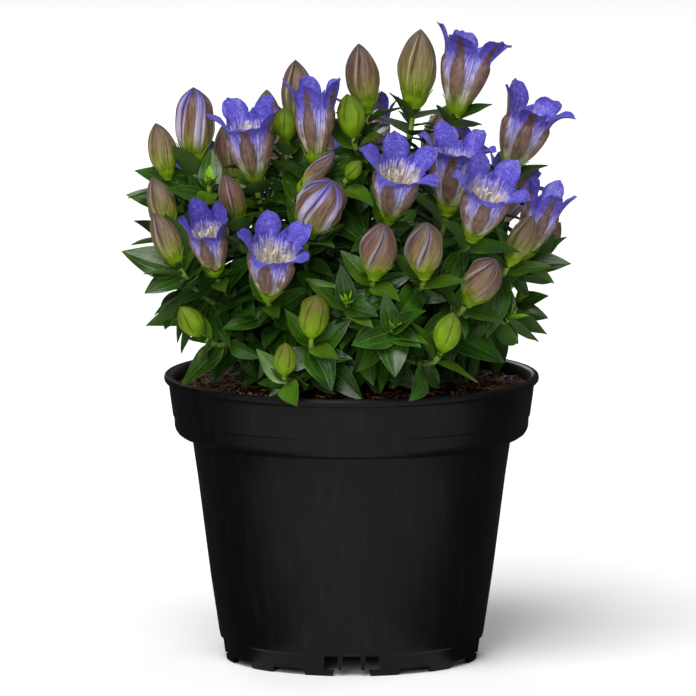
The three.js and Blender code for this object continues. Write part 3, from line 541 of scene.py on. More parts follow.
class Plant:
    """The whole clump: its stems, the leaves that the frame holds, and the room between them."""

    def __init__(self):
        self.shoots = shoots()
        self.heads = [stem for _, stems in self.shoots for stem in stems]
        self.crowd = np.zeros((0, 3))
        self.blades = {node: self.find_blades(node, stems) for node, stems in self.shoots}
        for number, single in enumerate(SINGLE_LEAVES):
            self.place_single(number, *single)
        self.fill()

    def find_blades(self, node, stems):
        """The frame's own blades, known by the place of their tips."""
        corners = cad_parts[node].data.vertices
        tree = kdtree.KDTree(len(corners))
        for k, corner in enumerate(corners):
            tree.insert(corner.co / MM, k)
        tree.balance()
        found = []
        sites = [(stem, pair, side) for stem in stems for pair in stem.pairs for side in (0, 1)]
        for stem, pair, side in sites:
            corner = (pair["index"] + side * 2) % 4
            root = blade_root(stem.path, pair, stem.head, corner, stem.radius)
            seed = stem.seed + pair["index"] * 3 + side * 1.7
            blades = (blade_frame(stem.path, pair, side, seed, way) for way in TRIES)
            blade = next((each for each in blades if tree.find(tip_of(root, each))[2] < SAME_TIP), None)
            if blade:
                blade.update(root=root, seed=seed, young=youth(stem, pair["index"], seed), fine=True)
                self.keep(found, blade)
        return found

    def keep(self, leaves, blade):
        """Adds a blade to its stem's leaves and to the crowd that the next ones make way for."""
        leaves.append(blade)
        self.crowd = np.vstack([self.crowd, marks_of(blade)])

    def place_single(self, number, shoot, index, share, tip, wide, facing):
        """A leaf from a stem to the place of its tip, with its upper side turned to `facing`."""
        node, stems = self.shoots[shoot]
        root = stems[index].path.point(share)
        reach = np.array(tip, float) - root
        way = unit(reach)
        face = np.array(facing, float)
        face = unit(face - way * face.dot(way))
        sag = math.atan(SINGLE_ARCH)
        self.keep(self.blades[node], {
            "along": way * math.cos(sag) + face * math.sin(sag),
            "upper": face * math.cos(sag) - way * math.sin(sag),
            "length": np.linalg.norm(reach) * math.cos(sag),
            "arch": SINGLE_ARCH,
            "root": root,
            "seed": 5000 + number * 2.3,
            "young": 0.02 + 0.05 * chance(number),
            "fine": True,
            "wide": wide,
        })

    def fill(self):
        """Smaller leaves between the frame's pairs, wherever they find room."""
        for node, stems in self.shoots:
            for stem in stems:
                below = 3.0
                index = 0
                while below < stem.path.length * (0.95 if stem.leader is None else 0.85):
                    size = 0.74 if below > 12 else 0.52
                    pair = {
                        "t": 1 - below / stem.path.length,
                        "length": through(FILL_LENGTH, below) * size,
                        "lift": float(through(FILL_LIFT, below)),
                        "arch": 0.2,
                        "turn": stem.head["turn"] + 45 + index * 90,
                    }
                    for side in (0, 1):
                        seed = stem.seed + 400 + index * 3.3 + side * 1.9
                        self.try_filler(node, stem, pair, side, seed, below)
                    below += 5.6 + 2 * chance(stem.seed + index)
                    index += 1

    def try_filler(self, node, stem, pair, side, seed, below):
        """A small leaf, turned the way that gives it the most room, if that is enough."""
        best = None
        for way in TRIES[:FILL_TRIES]:
            blade = blade_frame(stem.path, pair, side, seed, way)
            blade["root"] = stem.path.point(pair["t"]) + blade["along"] * stem.radius[0] * 0.6
            marks = marks_of(blade)
            if not in_the_open(marks[2:], self.heads):
                continue
            room = np.linalg.norm(marks[1:, None] - self.crowd[None], axis=2).min()
            if best is None or room > best[0]:
                best = (room, blade)
        if best and best[0] > LEAF_ROOM:
            best[1].update(seed=seed, young=youth(stem, 0.6 if below < 8 else 2, seed), fine=False)
            self.keep(self.blades[node], best[1])


def youth(stem, index, seed):
    """How young, and so how yellow, a blade is: 1 at a growing tip, 0 on old wood."""
    by_kind = stem.kind["young"]
    return by_kind * (0.6 + 0.8 * chance(seed + 0.5)) * math.exp(-0.9 * index)


def marks_of(blade):
    """A few points along a blade's middle and edges."""
    side = np.cross(blade["upper"], blade["along"])
    half = blade["length"] * BLADE_HALF_WIDTH * 0.75
    marks = []
    for t in (0.2, 0.45, 0.7, 1.0):
        run = t * blade["along"] - t * t * blade["arch"] * blade["upper"]
        middle = blade["root"] + blade["length"] * run
        marks.append(middle)
        if t < 1:
            marks.extend([middle + side * half, middle - side * half])
    return np.array(marks)


def in_the_open(marks, heads):
    """True if the points miss every flower and bud, the pot's wall and the mix, and stay in the clump."""
    radius = np.linalg.norm(marks[:, :2], axis=1)
    height = marks[:, 2]
    low, high = (np.array(corner) / MM for corner in CAD_BOX)
    if (marks < low + 1).any() or (marks > high - 1).any():
        return False
    in_pot = (radius < OPEN_MIX) & (height < MIX_CLEARANCE)
    on_lip = (radius >= OPEN_MIX) & (radius < LIP_REACH) & (height < LIP_CLEARANCE)
    if (in_pot | on_lip).any():
        return False
    for stem in heads:
        if stem.head["kind"] == "tip":
            continue
        turn, at = stem.stand
        local = (marks - at) @ turn
        size = stem.head["size"]
        is_bell = stem.kind["corolla"] == "bell"
        tall = (BELL_ROOM if is_bell else BUD_LENGTH * stem.kind["length"]) * size
        wide = 8.5 + 0.26 * np.clip(local[:, 2], 0, BELL_ROOM) if is_bell else BUD_ROOM
        near = np.hypot(local[:, 0], local[:, 1]) < wide * size
        if (near & (local[:, 2] > 2) & (local[:, 2] < tall)).any():
            return False
    return True


# Fine forms


LEAF_COLUMNS = np.array([-1, -0.86, -0.52, -0.26, 0, 0.26, 0.52, 0.86, 1])
# The smaller leaves have fewer
SMALL_LEAF_COLUMNS = LEAF_COLUMNS[[0, 2, 3, 4, 5, 6, 8]]
LEAF_THICKNESS = 0.34
# Half a leaf's width at its very tip
LEAF_TIP = 0.08
# Where the blade's outline, as leaf() draws it, is widest
SHAPE_PEAK = 0.387
# How near a small leaf may come to its neighbours
LEAF_ROOM = 1.3


def leaf(build, blade):
    """A sessile, pointed blade: gutter-shaped, arched, with three sunken veins and a thin closed margin."""
    seed = blade["seed"]
    length = blade["length"]
    along = blade["along"]
    side = np.cross(blade["upper"], along)
    across_leaf = LEAF_COLUMNS if blade["fine"] else SMALL_LEAF_COLUMNS
    count = 13 if blade["fine"] else 10
    columns = len(across_leaf)
    t = np.linspace(0, 1, count) ** 0.92
    shape = (t + 0.02) ** 0.5 * (1 - t) ** 0.98
    half = length * BLADE_HALF_WIDTH * blade.get("wide", 1) * (0.92 + 0.16 * chance(seed + 3))
    half = half * shape / SHAPE_PEAK
    half = np.maximum(half, length * 0.05 * (1 - t) ** 2 + LEAF_TIP)
    bend = length * 0.05 * (chance(seed + 5) - 0.5) * np.sin(math.pi * t)
    twist = (chance(seed + 7) - 0.5) * 0.7 * t
    droop = blade["arch"] * t**2
    tangent = along - blade["upper"] * (2 * blade["arch"] * t)[:, None]
    tangent /= np.linalg.norm(tangent, axis=1)[:, None]
    normal = np.cross(tangent, side)
    level = side * np.cos(twist)[:, None] + normal * np.sin(twist)[:, None]
    lift = normal * np.cos(twist)[:, None] - side * np.sin(twist)[:, None]
    run = t[:, None] * along - droop[:, None] * blade["upper"]
    middle = blade["root"] + length * run + bend[:, None] * side
    u = across_leaf[None, :]
    gutter = 0.26 * np.abs(u) ** 1.2 - 0.07 * np.abs(u) ** 4
    wave = 0.06 * np.sin(t[:, None] * 9 + u * 2 + seed) * np.abs(u) ** 2
    vein = 0.055 * np.exp(-(u / 0.12) ** 2) + 0.035 * np.exp(-((np.abs(u) - 0.52) / 0.1) ** 2)
    rise = half[:, None] * (gutter + wave - vein)
    top = middle[:, None] + level[:, None] * (half[:, None] * u)[..., None]
    top = top + lift[:, None] * rise[..., None]
    under = top - lift[:, None] * (LEAF_THICKNESS * (1 - np.abs(u) ** 6) + 0.1 * vein / 0.055)[..., None]
    # The upper side's grid and the under side's, which share their outer columns
    over = np.arange(count * columns).reshape(count, columns)
    below = over.copy()
    below[:, 1:-1] = over.size + np.arange(count * (columns - 2)).reshape(count, -1)
    over, below = over.tolist(), below.tolist()
    faces = []
    for r in range(count - 1):
        for c in range(columns - 1):
            faces.append([over[r + 1][c], over[r + 1][c + 1], over[r][c + 1], over[r][c]])
            faces.append([below[r][c], below[r][c + 1], below[r + 1][c + 1], below[r + 1][c]])
    for r, way in ((0, -1), (count - 1, 1)):
        for c in range(1, columns - 2):
            faces.append([over[r][c], over[r][c + 1], below[r][c + 1], below[r][c]][::way])
        faces.append([over[r][0], over[r][1], below[r][1]][::way])
        faces.append([over[r][-1], over[r][-2], below[r][-2]][::-way])
    edge = np.abs(u) ** 8 * 0.5
    notes = [np.stack(np.broadcast_arrays(u, t[:, None], last), axis=2) for last in (edge, 1.0)]
    points, zone = (
        np.vstack([high.reshape(-1, 3), low[:, 1:-1].reshape(-1, 3)]) for high, low in ((top, under), notes)
    )
    build.take(points, faces, 0, zone, (chance(seed + 11), blade["young"], length / 32))


STEM_SIDES = 10


def stalk(build, path, radius, pairs, slot, depth=0):
    """A round stalk that swells a little at each pair of leaves."""
    count = max(6, int(path.length / 4))
    stations = list(np.linspace(0, 1, count))
    for pair in pairs:
        stations.extend([pair["t"] - 1.6 / path.length, pair["t"], pair["t"] + 1.6 / path.length])
    stations = sorted(t for t in stations if 0 <= t <= 1)
    rings = []
    zones = []
    if depth:
        stations.insert(0, None)
    for t in stations:
        at = 0 if t is None else t
        away, beside = path.across(at) if t is not None else across(UP, path.heading)
        swell = sum(math.exp(-(((at - pair["t"]) * path.length) / 1.3) ** 2) for pair in pairs)
        thick = (radius[0] + (radius[1] - radius[0]) * at) * (0.86 + 0.22 * min(swell, 1))
        centre = path.point(at) - (UP * depth if t is None else 0)
        rings.extend(hoop(centre, away, beside, thick, STEM_SIDES))
        zones.extend((k / STEM_SIDES, at, 0) for k in range(STEM_SIDES))
    rings.extend([path.point(0) - UP * depth, path.point(1)])
    zones.extend([(0, 0, 0), (0, 1, 0)])
    build.take(rings, closed(len(stations), STEM_SIDES), slot, zones, (0.5, 0, 0))


# Columns of a lobed form: phases from after one fold, over the lobe's middle, to the next fold
HALF_LOBE = [0, 0.14, 0.27, 0.38, 0.47, 0.54, 0.59, 0.625, 0.72, 0.86]
LOBE_PHASES = np.array([-p for p in HALF_LOBE[:0:-1]] + HALF_LOBE + [1])
BUD_PHASES = np.array([-0.93, -0.8, -0.6, -0.38, -0.18, 0, 0.18, 0.38, 0.6, 0.8, 0.93, 1])
# Radius and height of the calyx's cup
CUP_OUTLINE = [(-1, 1.9), (0.2, 3.0), (1.6, 4.1), (3.4, 4.9), (12, 5.3)]
SINUS = 0.63
COLUMNS = LOBES * len(LOBE_PHASES)


def lobe_columns(shape):
    """Each column's lobe, its phase, which is 0 at the lobe's middle and 1 or -1 at a fold, and its angle."""
    lobes, phases = np.repeat(np.arange(LOBES), len(shape)), np.tile(shape, LOBES)
    return lobes, phases, (lobes + phases / 2) * 2 * math.pi / LOBES


def ring(radius, angle, height):
    """Points round a head's axis."""
    x, y = radius * np.cos(angle), radius * np.sin(angle)
    return np.column_stack([x, y, np.broadcast_to(height, angle.shape)])


def hug(stem, z):
    """How wide the corolla is at a height above its calyx, at size 1."""
    kind = stem.kind
    if kind["corolla"] == "bell":
        return through(TUBE_OUTLINE, z / kind["length"]) * kind["width"]
    return through(BUD_OUTLINE, z / BUD_LENGTH / kind["length"]) * kind["width"]


def calyx(build, stem, slot):
    """A green cup whose five narrow lobes hug the corolla's foot."""
    size = stem.head["size"]
    lobes, phases, angle = lobe_columns(BUD_PHASES)
    count = len(phases)
    p = np.abs(phases)
    point = np.maximum(0, 1 - p / 0.36) ** 0.75
    rim = 4.3 + 3.9 * point * (1 + 0.3 * np.array([chance(stem.seed + k) - 0.5 for k in lobes]))
    shares = np.array([0, 0.12, 0.26, 0.42, 0.58, 0.74, 0.88, 1.0])
    rows = []
    zones = []
    for inner in (0, 1):
        for share in shares if not inner else shares[:0:-1]:
            z = -1 + (rim + 1) * share
            r = np.maximum(through(CUP_OUTLINE, z), hug(stem, z) + 0.4) - 0.45 * inner
            r = r + 0.3 * point * share**3 + 0.12 * np.cos(phases * math.pi) * share
            z = z + inner * 0.25 * (1 - share) + (0.5 * inner if share < 0.3 else 0)
            rows.append(ring(r, angle, z) * size)
            zones.append(np.column_stack([phases, z / 10, np.full(count, inner)]))
    points = np.vstack(rows + [[[0, 0, -1.2 * size]], [[0, 0, 0.7 * size]]])
    zone = np.vstack(zones + [[[0, 0, 0]], [[0, 0, 1]]])
    tone = (chance(stem.seed), 0.7, 0)
    build.take(placed(points, stem.stand), closed(len(rows), count), slot, zone, tone)


BUD_OUTLINE = [
    (0.03, 2.2), (0.1, 3.7), (0.2, 5.6), (0.3, 6.8), (0.42, 7.5), (0.53, 7.6), (0.65, 7.0), (0.76, 5.9),
    (0.86, 4.3), (0.94, 2.4), (0.985, 1.0), (1.0, 0.35),
]


def closed_bud(build, stem, slot, foot=1.3):
    """A spindle of five furled petals, each with one edge over the next, that twists to a point."""
    size, kind = stem.head["size"], stem.kind
    name = stem.head["kind"]
    tall = BUD_LENGTH * kind["length"] * size
    wide = kind["width"] * size
    lobes, phases, angle = lobe_columns(BUD_PHASES)
    count = len(phases)
    p = np.abs(phases)
    groove = smooth(p, 0.75, 1.0)
    loose = kind["loose"]
    seeds = np.array([chance(stem.seed + 13 * k) - 0.5 for k in range(LOBES)])[lobes]
    shares = np.concatenate([np.linspace(0.03, 0.9, 24), [0.93, 0.955, 0.975, 0.99, 1.0]])
    lean = np.array([math.cos(stem.seed), math.sin(stem.seed)]) * (1.2 + 1.2 * loose) * size
    blunt = 0.3 * smooth(stem.head.get("ripe", 0), 0.8, 1.0) + 0.12 * (name == "plump")
    rows = []
    zones = []
    for x in shares:
        r = through(BUD_OUTLINE, x) * wide * (1 + blunt * smooth(x, 0.55, 0.92))
        grown = smooth(x, 0.12, 0.5)
        crease = (0.012 + 0.035 * loose) * np.sin(14 * x + 5 * phases + stem.seed + 9 * seeds) * grown
        edge = (0.075 + 0.07 * loose + 0.05 * seeds) * phases
        r = r * (1 - 0.1 * groove * grown + edge * grown + crease + 0.1 * loose * seeds * grown)
        turn = kind["twist"] * max(0.0, x - 0.25) ** 1.4
        rows.append(ring(r, angle + turn, x * tall))
        rows[-1][:, :2] += lean * max(0.0, x - 0.4) ** 1.5
        zones.append(np.column_stack([phases, np.full(count, x), np.zeros(count)]))
    bent = lean * 0.6**1.5
    points = np.vstack(rows + [[[0, 0, foot * size]], [[bent[0], bent[1], tall * 1.012]]])
    zone = np.vstack(zones + [[[0, 0, 0]], [[0, 1, 0]]])
    ripe = stem.head.get("ripe", 0)
    stripes = 1.0 if ripe >= 1 else kind["stripes"]
    flush = stem.head.get("ripe", 0.2) if name == "green" else chance(stem.seed)
    build.take(placed(points, stem.stand), closed(len(rows), count), slot, zone, (ripe, stripes, flush))


TUBE_OUTLINE = [
    (1.0, 2.5), (2.8, 3.4), (5, 4.9), (8, 6.9), (11, 8.5), (15, 10.0), (19, 11.0), (22, 11.4), (25, 11.3),
]
TUBE_ROWS = [1.0, 2.2, 3.6, 5.2, 7.2, 9.4, 11.8, 14.2, 16.4, 18.4, 20.2, 21.6, 22.8, 23.9, 25]
LOBE_ROWS = [0.06, 0.13, 0.21, 0.3, 0.4, 0.5, 0.6, 0.7, 0.79, 0.87, 0.94, 1.0]
THROAT_FLOOR = 9.5
PETAL_THICKNESS = 0.42
LOBE_LENGTH = 13
# Half the width of the brown panel on a lobe's back, by its share of the tube's length, and past 1 of the
# lobe's
PANEL_WIDTH = [
    (0.05, -0.6), (0.18, 0.6), (0.3, 2.0), (0.5, 3.3), (0.68, 3.7), (0.84, 3.3), (0.97, 2.5), (1.1, 2.0),
    (1.3, 1.9), (1.6, 1.5), (1.85, 0.7), (2.1, -0.5),
]


def open_bell(build, stem, slot, flare_angle):
    """The corolla: a funnel of five pouches and five pleats, with a round lobe over every pouch.

    A lobe bends outward from the funnel's rim as a strip that keeps its width. The lobes on the bell's
    low side bend further than those above.
    """
    size, kind = stem.head["size"], stem.kind
    long, wide = kind["length"], kind["width"]
    lobes, phases, angle = lobe_columns(LOBE_PHASES)
    p = np.abs(phases)
    q = p / SINUS
    on_lobe = q < 1
    turn = stem.stand[0]
    seeds = np.array([stem.seed + 31 * k for k in range(LOBES)])
    middles = np.arange(LOBES) * 2 * math.pi / LOBES
    droop = np.array([-(turn @ (math.cos(a), math.sin(a), 0))[2] for a in middles])
    random = np.array([[chance(s + k) for k in range(6)] for s in seeds])
    flares = flare_angle * kind["flare"] * (0.72 + 0.5 * random[:, 0] + 0.8 * droop)
    flare = flares[lobes]
    tall = (LOBE_LENGTH * (0.92 + 0.16 * random[:, 1]))[lobes]
    fold = (random[:, 2] - 0.5)[lobes]
    ripple = random[:, 3][lobes] * 2 * math.pi
    side = (random[:, 4] - 0.5)[lobes] * 0.5
    crown = np.clip(1 - q**4, 0, 1) ** 0.5 + 0.05 * np.exp(-((q / 0.12) ** 2))
    tooth = 0.12 + 0.36 * np.clip((p - SINUS) / (1 - SINUS), 0, 1) ** 1.2 * (0.7 + 0.7 * random[:, 5][lobes])
    height = np.where(on_lobe, np.maximum(tall * crown, 1.2), LOBE_LENGTH * tooth)
    pouch = np.clip(1 - (p / 0.68) ** 2.6, 0, 1) ** 0.5
    pleat = np.sin(math.pi * np.clip((p - 0.68) / 0.32, 0, 1)) ** 2

    def tube(z):
        depth = 2.1 * smooth(z, 3, 13) * (1 - 0.45 * smooth(z, 20, 26))
        arch = smooth(25.6 - 6.5 * (p / 0.6) ** 2 - z, -1.0, 2.2)
        return (through(TUBE_OUTLINE, z) - depth * (1 - pouch * arch) - 0.4 * depth * pleat) * wide

    def panel(along, beside):
        return through(PANEL_WIDTH, along) - beside

    outer = []
    inner = []
    for z in TUBE_ROWS:
        r = tube(z)
        along = np.full(COLUMNS, z / BELL_TUBE)
        outer.append((ring(r, angle, z * long), along, panel(along, p * math.pi / LOBES * r / wide)))
        if z > THROAT_FLOOR:
            r_in = through(TUBE_OUTLINE, z) * wide - 1.2 - 0.35 * (1 - pouch) - 0.3 * pleat
            r_in = np.minimum(r_in, r - 0.45)
            inner.append((ring(r_in, angle, z * long), along, np.zeros(COLUMNS)))
    rim = tube(BELL_TUBE)
    phi = phases * math.pi / LOBES
    steps = 24
    for share in LOBE_ROWS:
        reach = share * height
        out = np.zeros(COLUMNS)
        rise = np.full(COLUMNS, float(BELL_TUBE * long))
        for k in range(steps):
            way = reach * (k + 0.5) / steps / LOBE_LENGTH
            lean = flare * np.where(on_lobe, 0.16 + way**1.15, 0.16 + 0.7 * way)
            out += np.sin(lean) * reach / steps
            rise += np.cos(lean) * reach / steps
        way = np.where(on_lobe, reach / LOBE_LENGTH, 0)
        lean = flare * np.where(on_lobe, 0.16 + way**1.15, 0.16)
        spread = 1 + 0.75 * np.sin(math.pi * np.clip(way, 0, 1) * 0.8)
        beside = rim * np.sin(phi) * spread + side * way**2 * 4
        forth = rim * np.cos(phi)
        wave = way**1.3 * (
            -3.2 * q**2 * (0.3 + fold)
            + 1.2 * np.sin(phases * 8.5 + ripple) * q
            + 0.75 * np.sin(phases * 17 + 2 * ripple) * q**3
        ) * on_lobe
        crease = -0.55 * way * np.exp(-((q / 0.16) ** 2)) * on_lobe
        push = wave + crease
        forth = forth + out + push * np.cos(lean)
        rise = rise - push * np.sin(lean)
        middle = middles[lobes]
        thin = PETAL_THICKNESS * (1 - 0.6 * share)

        def set_down(forth, beside, rise):
            x = forth * np.cos(middle) - beside * np.sin(middle)
            y = forth * np.sin(middle) + beside * np.cos(middle)
            return np.column_stack([x, y, rise])

        under = set_down(forth, beside, rise)
        above = set_down(forth - thin * np.cos(lean), beside, rise + thin * np.sin(lean))
        along = 1 + reach / LOBE_LENGTH
        outer.append((under, along, panel(along, np.abs(beside) / wide)))
        inner.append((above, along, np.zeros(COLUMNS)))
    rows = outer + inner[::-1]
    points = np.vstack([row[0] for row in rows])
    zones = []
    tones = []
    for k, (_, along, margin) in enumerate(rows):
        zones.append(np.column_stack([phases, along, np.full(COLUMNS, float(k >= len(outer)))]))
        tones.append(np.column_stack([np.full(COLUMNS, chance(stem.seed)), margin, random[:, 0][lobes]]))
    points = np.vstack([points, [[0, 0, 1.3]], [[0, 0, THROAT_FLOOR * long]]]) * size
    zone = np.vstack(zones + [[[0, 0, 0]], [[0, 0.3, 1]]])
    tone = np.vstack(tones + [[[0.5, 0, 0]], [[0.5, 0, 0]]])
    build.take(placed(points, stem.stand), closed(len(rows), COLUMNS), slot, zone, tone)


def rod(build, stem, line, radii, slot, zone, tone, sides=8):
    """A round rod through a line of points in the space of a head of size 1."""
    line = np.array(line) * (stem.head["size"] * stem.kind["length"])
    rings = []
    for k, centre in enumerate(line):
        way = unit(line[min(k + 1, len(line) - 1)] - line[max(k - 1, 0)])
        x = unit(np.cross(way, (0.3, 1, 0.1)))
        rings.extend(hoop(centre, x, np.cross(way, x), radii[k], sides))
    rings.extend([line[0], line[-1]])
    build.take(placed(rings, stem.stand), closed(len(line), sides), slot, zone, tone)


def stamens(build, stem, slot):
    """Five filaments with long cream anthers round a pistil that ends in two curled lobes."""
    for k in range(LOBES):
        angle = (k + 0.5) * 2 * math.pi / LOBES
        out = np.array([math.cos(angle), math.sin(angle), 0])
        far = 3.4 + 1.8 * chance(stem.seed + k)
        top = 19.5 + 2.5 * chance(stem.seed + k + 9)
        line = [out * 3.4 + UP * 9, out * (far + 0.4) + UP * (top - 6), out * far + UP * top]
        rod(build, stem, line, [0.42, 0.36, 0.3], slot, (0, 0, 0), (0.2, 0, 0), 6)
        tip = out * (far + 0.9) + UP * (top + 4.2)
        start = out * (far - 0.1) + UP * (top - 0.6)
        line = [start + (tip - start) * s for s in (0, 0.15, 0.4, 0.7, 0.92, 1)]
        rod(build, stem, line, [0.2, 0.6, 0.75, 0.7, 0.45, 0.15], slot, (0, 1, 0), (0.8, 0, 0))
    line = [UP * z for z in (8, 12, 17, 22, 25)]
    rod(build, stem, line, [1.2, 1.35, 1.1, 0.75, 0.55], slot, (0, 0, 0), (0.5, 0, 0), 10)
    for way in (1, -1):
        line = [(way * 0.25, 0, 24.6), (way * 0.7, 0, 25.8), (way * 1.6, 0, 26.6), (way * 2.3, 0, 26.3)]
        rod(build, stem, line, [0.45, 0.5, 0.42, 0.2], slot, (0, 0.3, 0), (1, 0, 0))


# Colours and nodes


def colour(text):
    """An sRGB hex colour as linear red, green, blue and alpha."""
    parts = [int(text[k : k + 2], 16) / 255 for k in (1, 3, 5)]
    return [c / 12.92 if c <= 0.04045 else ((c + 0.055) / 1.055) ** 2.4 for c in parts] + [1.0]


def add_node(tree, kind, *inputs, **named):
    """One node. Inputs are given in their order, or by name with a capital, and settings in lower case.

    An input is a value, a socket, or a node, whose first output in use then feeds it. The setting `stops`
    holds a colour ramp's places and hex colours.
    """
    made = tree.nodes.new("ShaderNode" + kind)
    stops = named.pop("stops", [])
    for _ in stops[2:]:
        made.color_ramp.elements.new(0.5)
    for k, (place, text) in enumerate(stops):
        made.color_ramp.elements[k].position = place
        made.color_ramp.elements[k].color = colour(text)
    for key, value in named.items():
        if key.islower():
            setattr(made, key, value)
    sockets = list(zip([socket for socket in made.inputs if socket.enabled], inputs))
    for key, value in named.items():
        if not key.islower():
            sockets.append((made.inputs[key.replace("_", " ")], value))
    for socket, value in sockets:
        if isinstance(value, bpy.types.Node):
            value = next(output for output in value.outputs if output.enabled)
        if isinstance(value, bpy.types.NodeSocket):
            tree.links.new(value, socket)
        else:
            socket.default_value = value
    return made


# Settings that many nodes share: a mix of two colours, one that darkens, and a soft step
TINT = {"data_type": "RGBA"}
SHADE = {"data_type": "RGBA", "blend_type": "MULTIPLY"}
SOFT = {"interpolation_type": "SMOOTHSTEP"}


def new_material(name):
    """An empty material, and what adds a node to it."""
    material = bpy.data.materials.new(name)
    material.use_nodes = True
    material.node_tree.nodes.clear()
    return material, functools.partial(add_node, material.node_tree)


def moulded_polypropylene(settings):
    """Black polypropylene, injection moulded: satin, faintly pebbled, with a broad soft highlight."""
    material, add = new_material("black_moulded_polypropylene")
    place = add("TexCoord").outputs["Object"]
    grain = add("TexNoise", Vector=place, Scale=1 / (1.1 * MM), Detail=3)
    cloud = add("TexNoise", Vector=place, Scale=1 / (45 * MM), Detail=4)
    at = add("SeparateXYZ", add("Attribute", attribute_name="zone").outputs["Vector"]).outputs
    stretched = add("Mapping", Vector=place, Scale=(1, 1, 0.12))
    drawn = add("TexNoise", Vector=stretched, Scale=1 / (4 * MM), Detail=5)
    dust = add("MapRange", drawn, 0.52, 0.8, 0, 0.1)
    base = add("Mix", dust, (*settings.plastic, 1), colour("#34343a"), **TINT)
    satin = add("MapRange", cloud, 0.3, 0.7, 0.36, 0.48)
    # The inside is dulled by the mix
    rough = add("Mix", at[0], satin, 0.85)
    fine = add("Bump", Height=grain, Strength=0.16, Distance=0.25 * MM)
    bump = add("Bump", Height=cloud, Strength=0.12, Distance=3 * MM, Normal=fine)
    shader = add(
        "BsdfPrincipled", Base_Color=base, Roughness=rough, IOR=1.49, Specular_IOR_Level=0.15, Normal=bump,
    )
    add("OutputMaterial", Surface=shader)
    return material


def damp_peat(settings):
    """Damp peat mix: nearly black red-brown crumbs with small wet glints, and paler dry fibres."""
    material, add = new_material("damp_peat_mix")
    place = add("TexCoord").outputs["Object"]
    of = add("SeparateXYZ", add("Attribute", attribute_name="tone").outputs["Vector"]).outputs
    crumbs = add("TexVoronoi", Vector=place, Scale=1 / (1.6 * MM))
    cloud = add("TexNoise", Vector=place, Scale=1 / (7 * MM), Detail=6)
    ground = add("ValToRGB", cloud, stops=[
        (0.3, "#0d0403"), (0.46, "#210c08"), (0.6, "#3b190f"), (0.75, "#5c3220"),
    ])
    # Painted shade: each crumb is darker towards its edge, so the gaps between crumbs look shaded
    shade = add("MapRange", crumbs, 0, 0.8, 1.15, 0.55)
    crumb_shaded = add("Mix", 1.0, ground, shade, **SHADE)
    fibre = add("Mix", of[1], crumb_shaded, (*settings.fibre, 1), **TINT)
    grit = add("TexNoise", Vector=place, Scale=1 / (0.7 * MM), Detail=2)
    gritty = add("Bump", Height=grit, Strength=0.9, Distance=0.5 * MM)
    bump = add("Bump", Height=crumbs, Strength=0.8, Distance=1.2 * MM, Normal=gritty)
    shader = add(
        "BsdfPrincipled", Base_Color=fibre, Roughness=0.5, IOR=1.4, Specular_IOR_Level=0.25, Normal=bump,
    )
    add("OutputMaterial", Surface=shader)
    return material


def waxy_leaf(settings):
    """Gentian leaf: a dark green waxy upper side that shines, three sunken pale veins, a thin pale margin."""
    material, add = new_material("waxy_gentian_leaf")
    at = add("SeparateXYZ", add("Attribute", attribute_name="zone").outputs["Vector"]).outputs
    of = add("SeparateXYZ", add("Attribute", attribute_name="tone").outputs["Vector"]).outputs
    place = add("TexCoord").outputs["Object"]
    aside = add("Math", at[0], operation="ABSOLUTE")
    midrib = add("MapRange", aside, 0.0, 0.085, 1, 0, **SOFT)
    from_side = add("Math", aside, 0.52, operation="SUBTRACT")
    to_side = add("Math", from_side, operation="ABSOLUTE")
    rib = add("MapRange", to_side, 0.0, 0.06, 0.6, 0, **SOFT)
    veins = add("Math", midrib, rib, operation="MAXIMUM")
    net = add("TexVoronoi", Vector=place, Scale=1 / (1.9 * MM), feature="DISTANCE_TO_EDGE")
    mesh = add("MapRange", net, 0.0, 0.09, 0.12, 0)
    cloud = add("TexNoise", Vector=place, Scale=1 / (9 * MM), Detail=4)
    blotch = add("MapRange", cloud, 0.35, 0.68, 0, 1)
    old = add("Mix", blotch, (*settings.leaf_dark, 1), (*settings.leaf_mid, 1), **TINT)
    varied = add("MapRange", of[0], 0, 1, 0.62, 1.35)
    toned = add("Mix", 1.0, old, varied, **SHADE)
    base_pale = add("MapRange", at[1], 0.0, 0.55, 1.25, 0.55)
    fresh = add("Math", of[1], base_pale, operation="MULTIPLY", use_clamp=True)
    young = add("Mix", fresh, toned, (*settings.leaf_young, 1), **TINT)
    lines = add("Math", veins, 0.42, operation="MULTIPLY")
    veined = add("Mix", lines, young, colour("#567a2c"), **TINT)
    under = add("MapRange", at[2], 0.45, 0.8, 0, 0.7)
    pale = add("Mix", under, veined, colour("#44632a"), **TINT)
    margin = add("MapRange", aside, 0.93, 1.0, 0, 0.5)
    edged = add("Mix", margin, pale, colour("#5f8038"), **TINT)
    relief = add("Math", veins, mesh, operation="ADD")
    quilted = add("Bump", Height=cloud, Strength=0.4, Distance=1.2 * MM)
    bump = add("Bump", Height=relief, Strength=0.4, Distance=0.25 * MM, Normal=quilted, invert=True)
    # A few small drops of water: a bump and a smooth finish, and a painted pale glint mixed into the colour
    drops = add("TexVoronoi", Vector=place, Scale=1 / (2.7 * MM))
    sort = add("SeparateXYZ", drops.outputs["Color"]).outputs
    few = add("MapRange", sort[0], 0.6, 0.64, 0, 1)
    bead = add("MapRange", drops, 0.05, 0.16, 1, 0, **SOFT)
    drop = add("Math", few, bead, operation="MULTIPLY")
    glint = add("Math", drop, 0.4, operation="MULTIPLY")
    dew_with_painted_glint = add("Mix", glint, edged, colour("#a9bba6"), **TINT)
    beaded = add("Bump", Height=drop, Strength=0.8, Distance=0.35 * MM, Normal=bump)
    dry = add("MapRange", at[2], 0.4, 0.9, 0.31, 0.6)
    rough = add("Mix", drop, dry, 0.12)
    shader = add(
        "BsdfPrincipled", Base_Color=dew_with_painted_glint, Roughness=rough, IOR=1.45, Specular_IOR_Level=0.42, Normal=beaded,
    )
    add("OutputMaterial", Surface=shader)
    return material


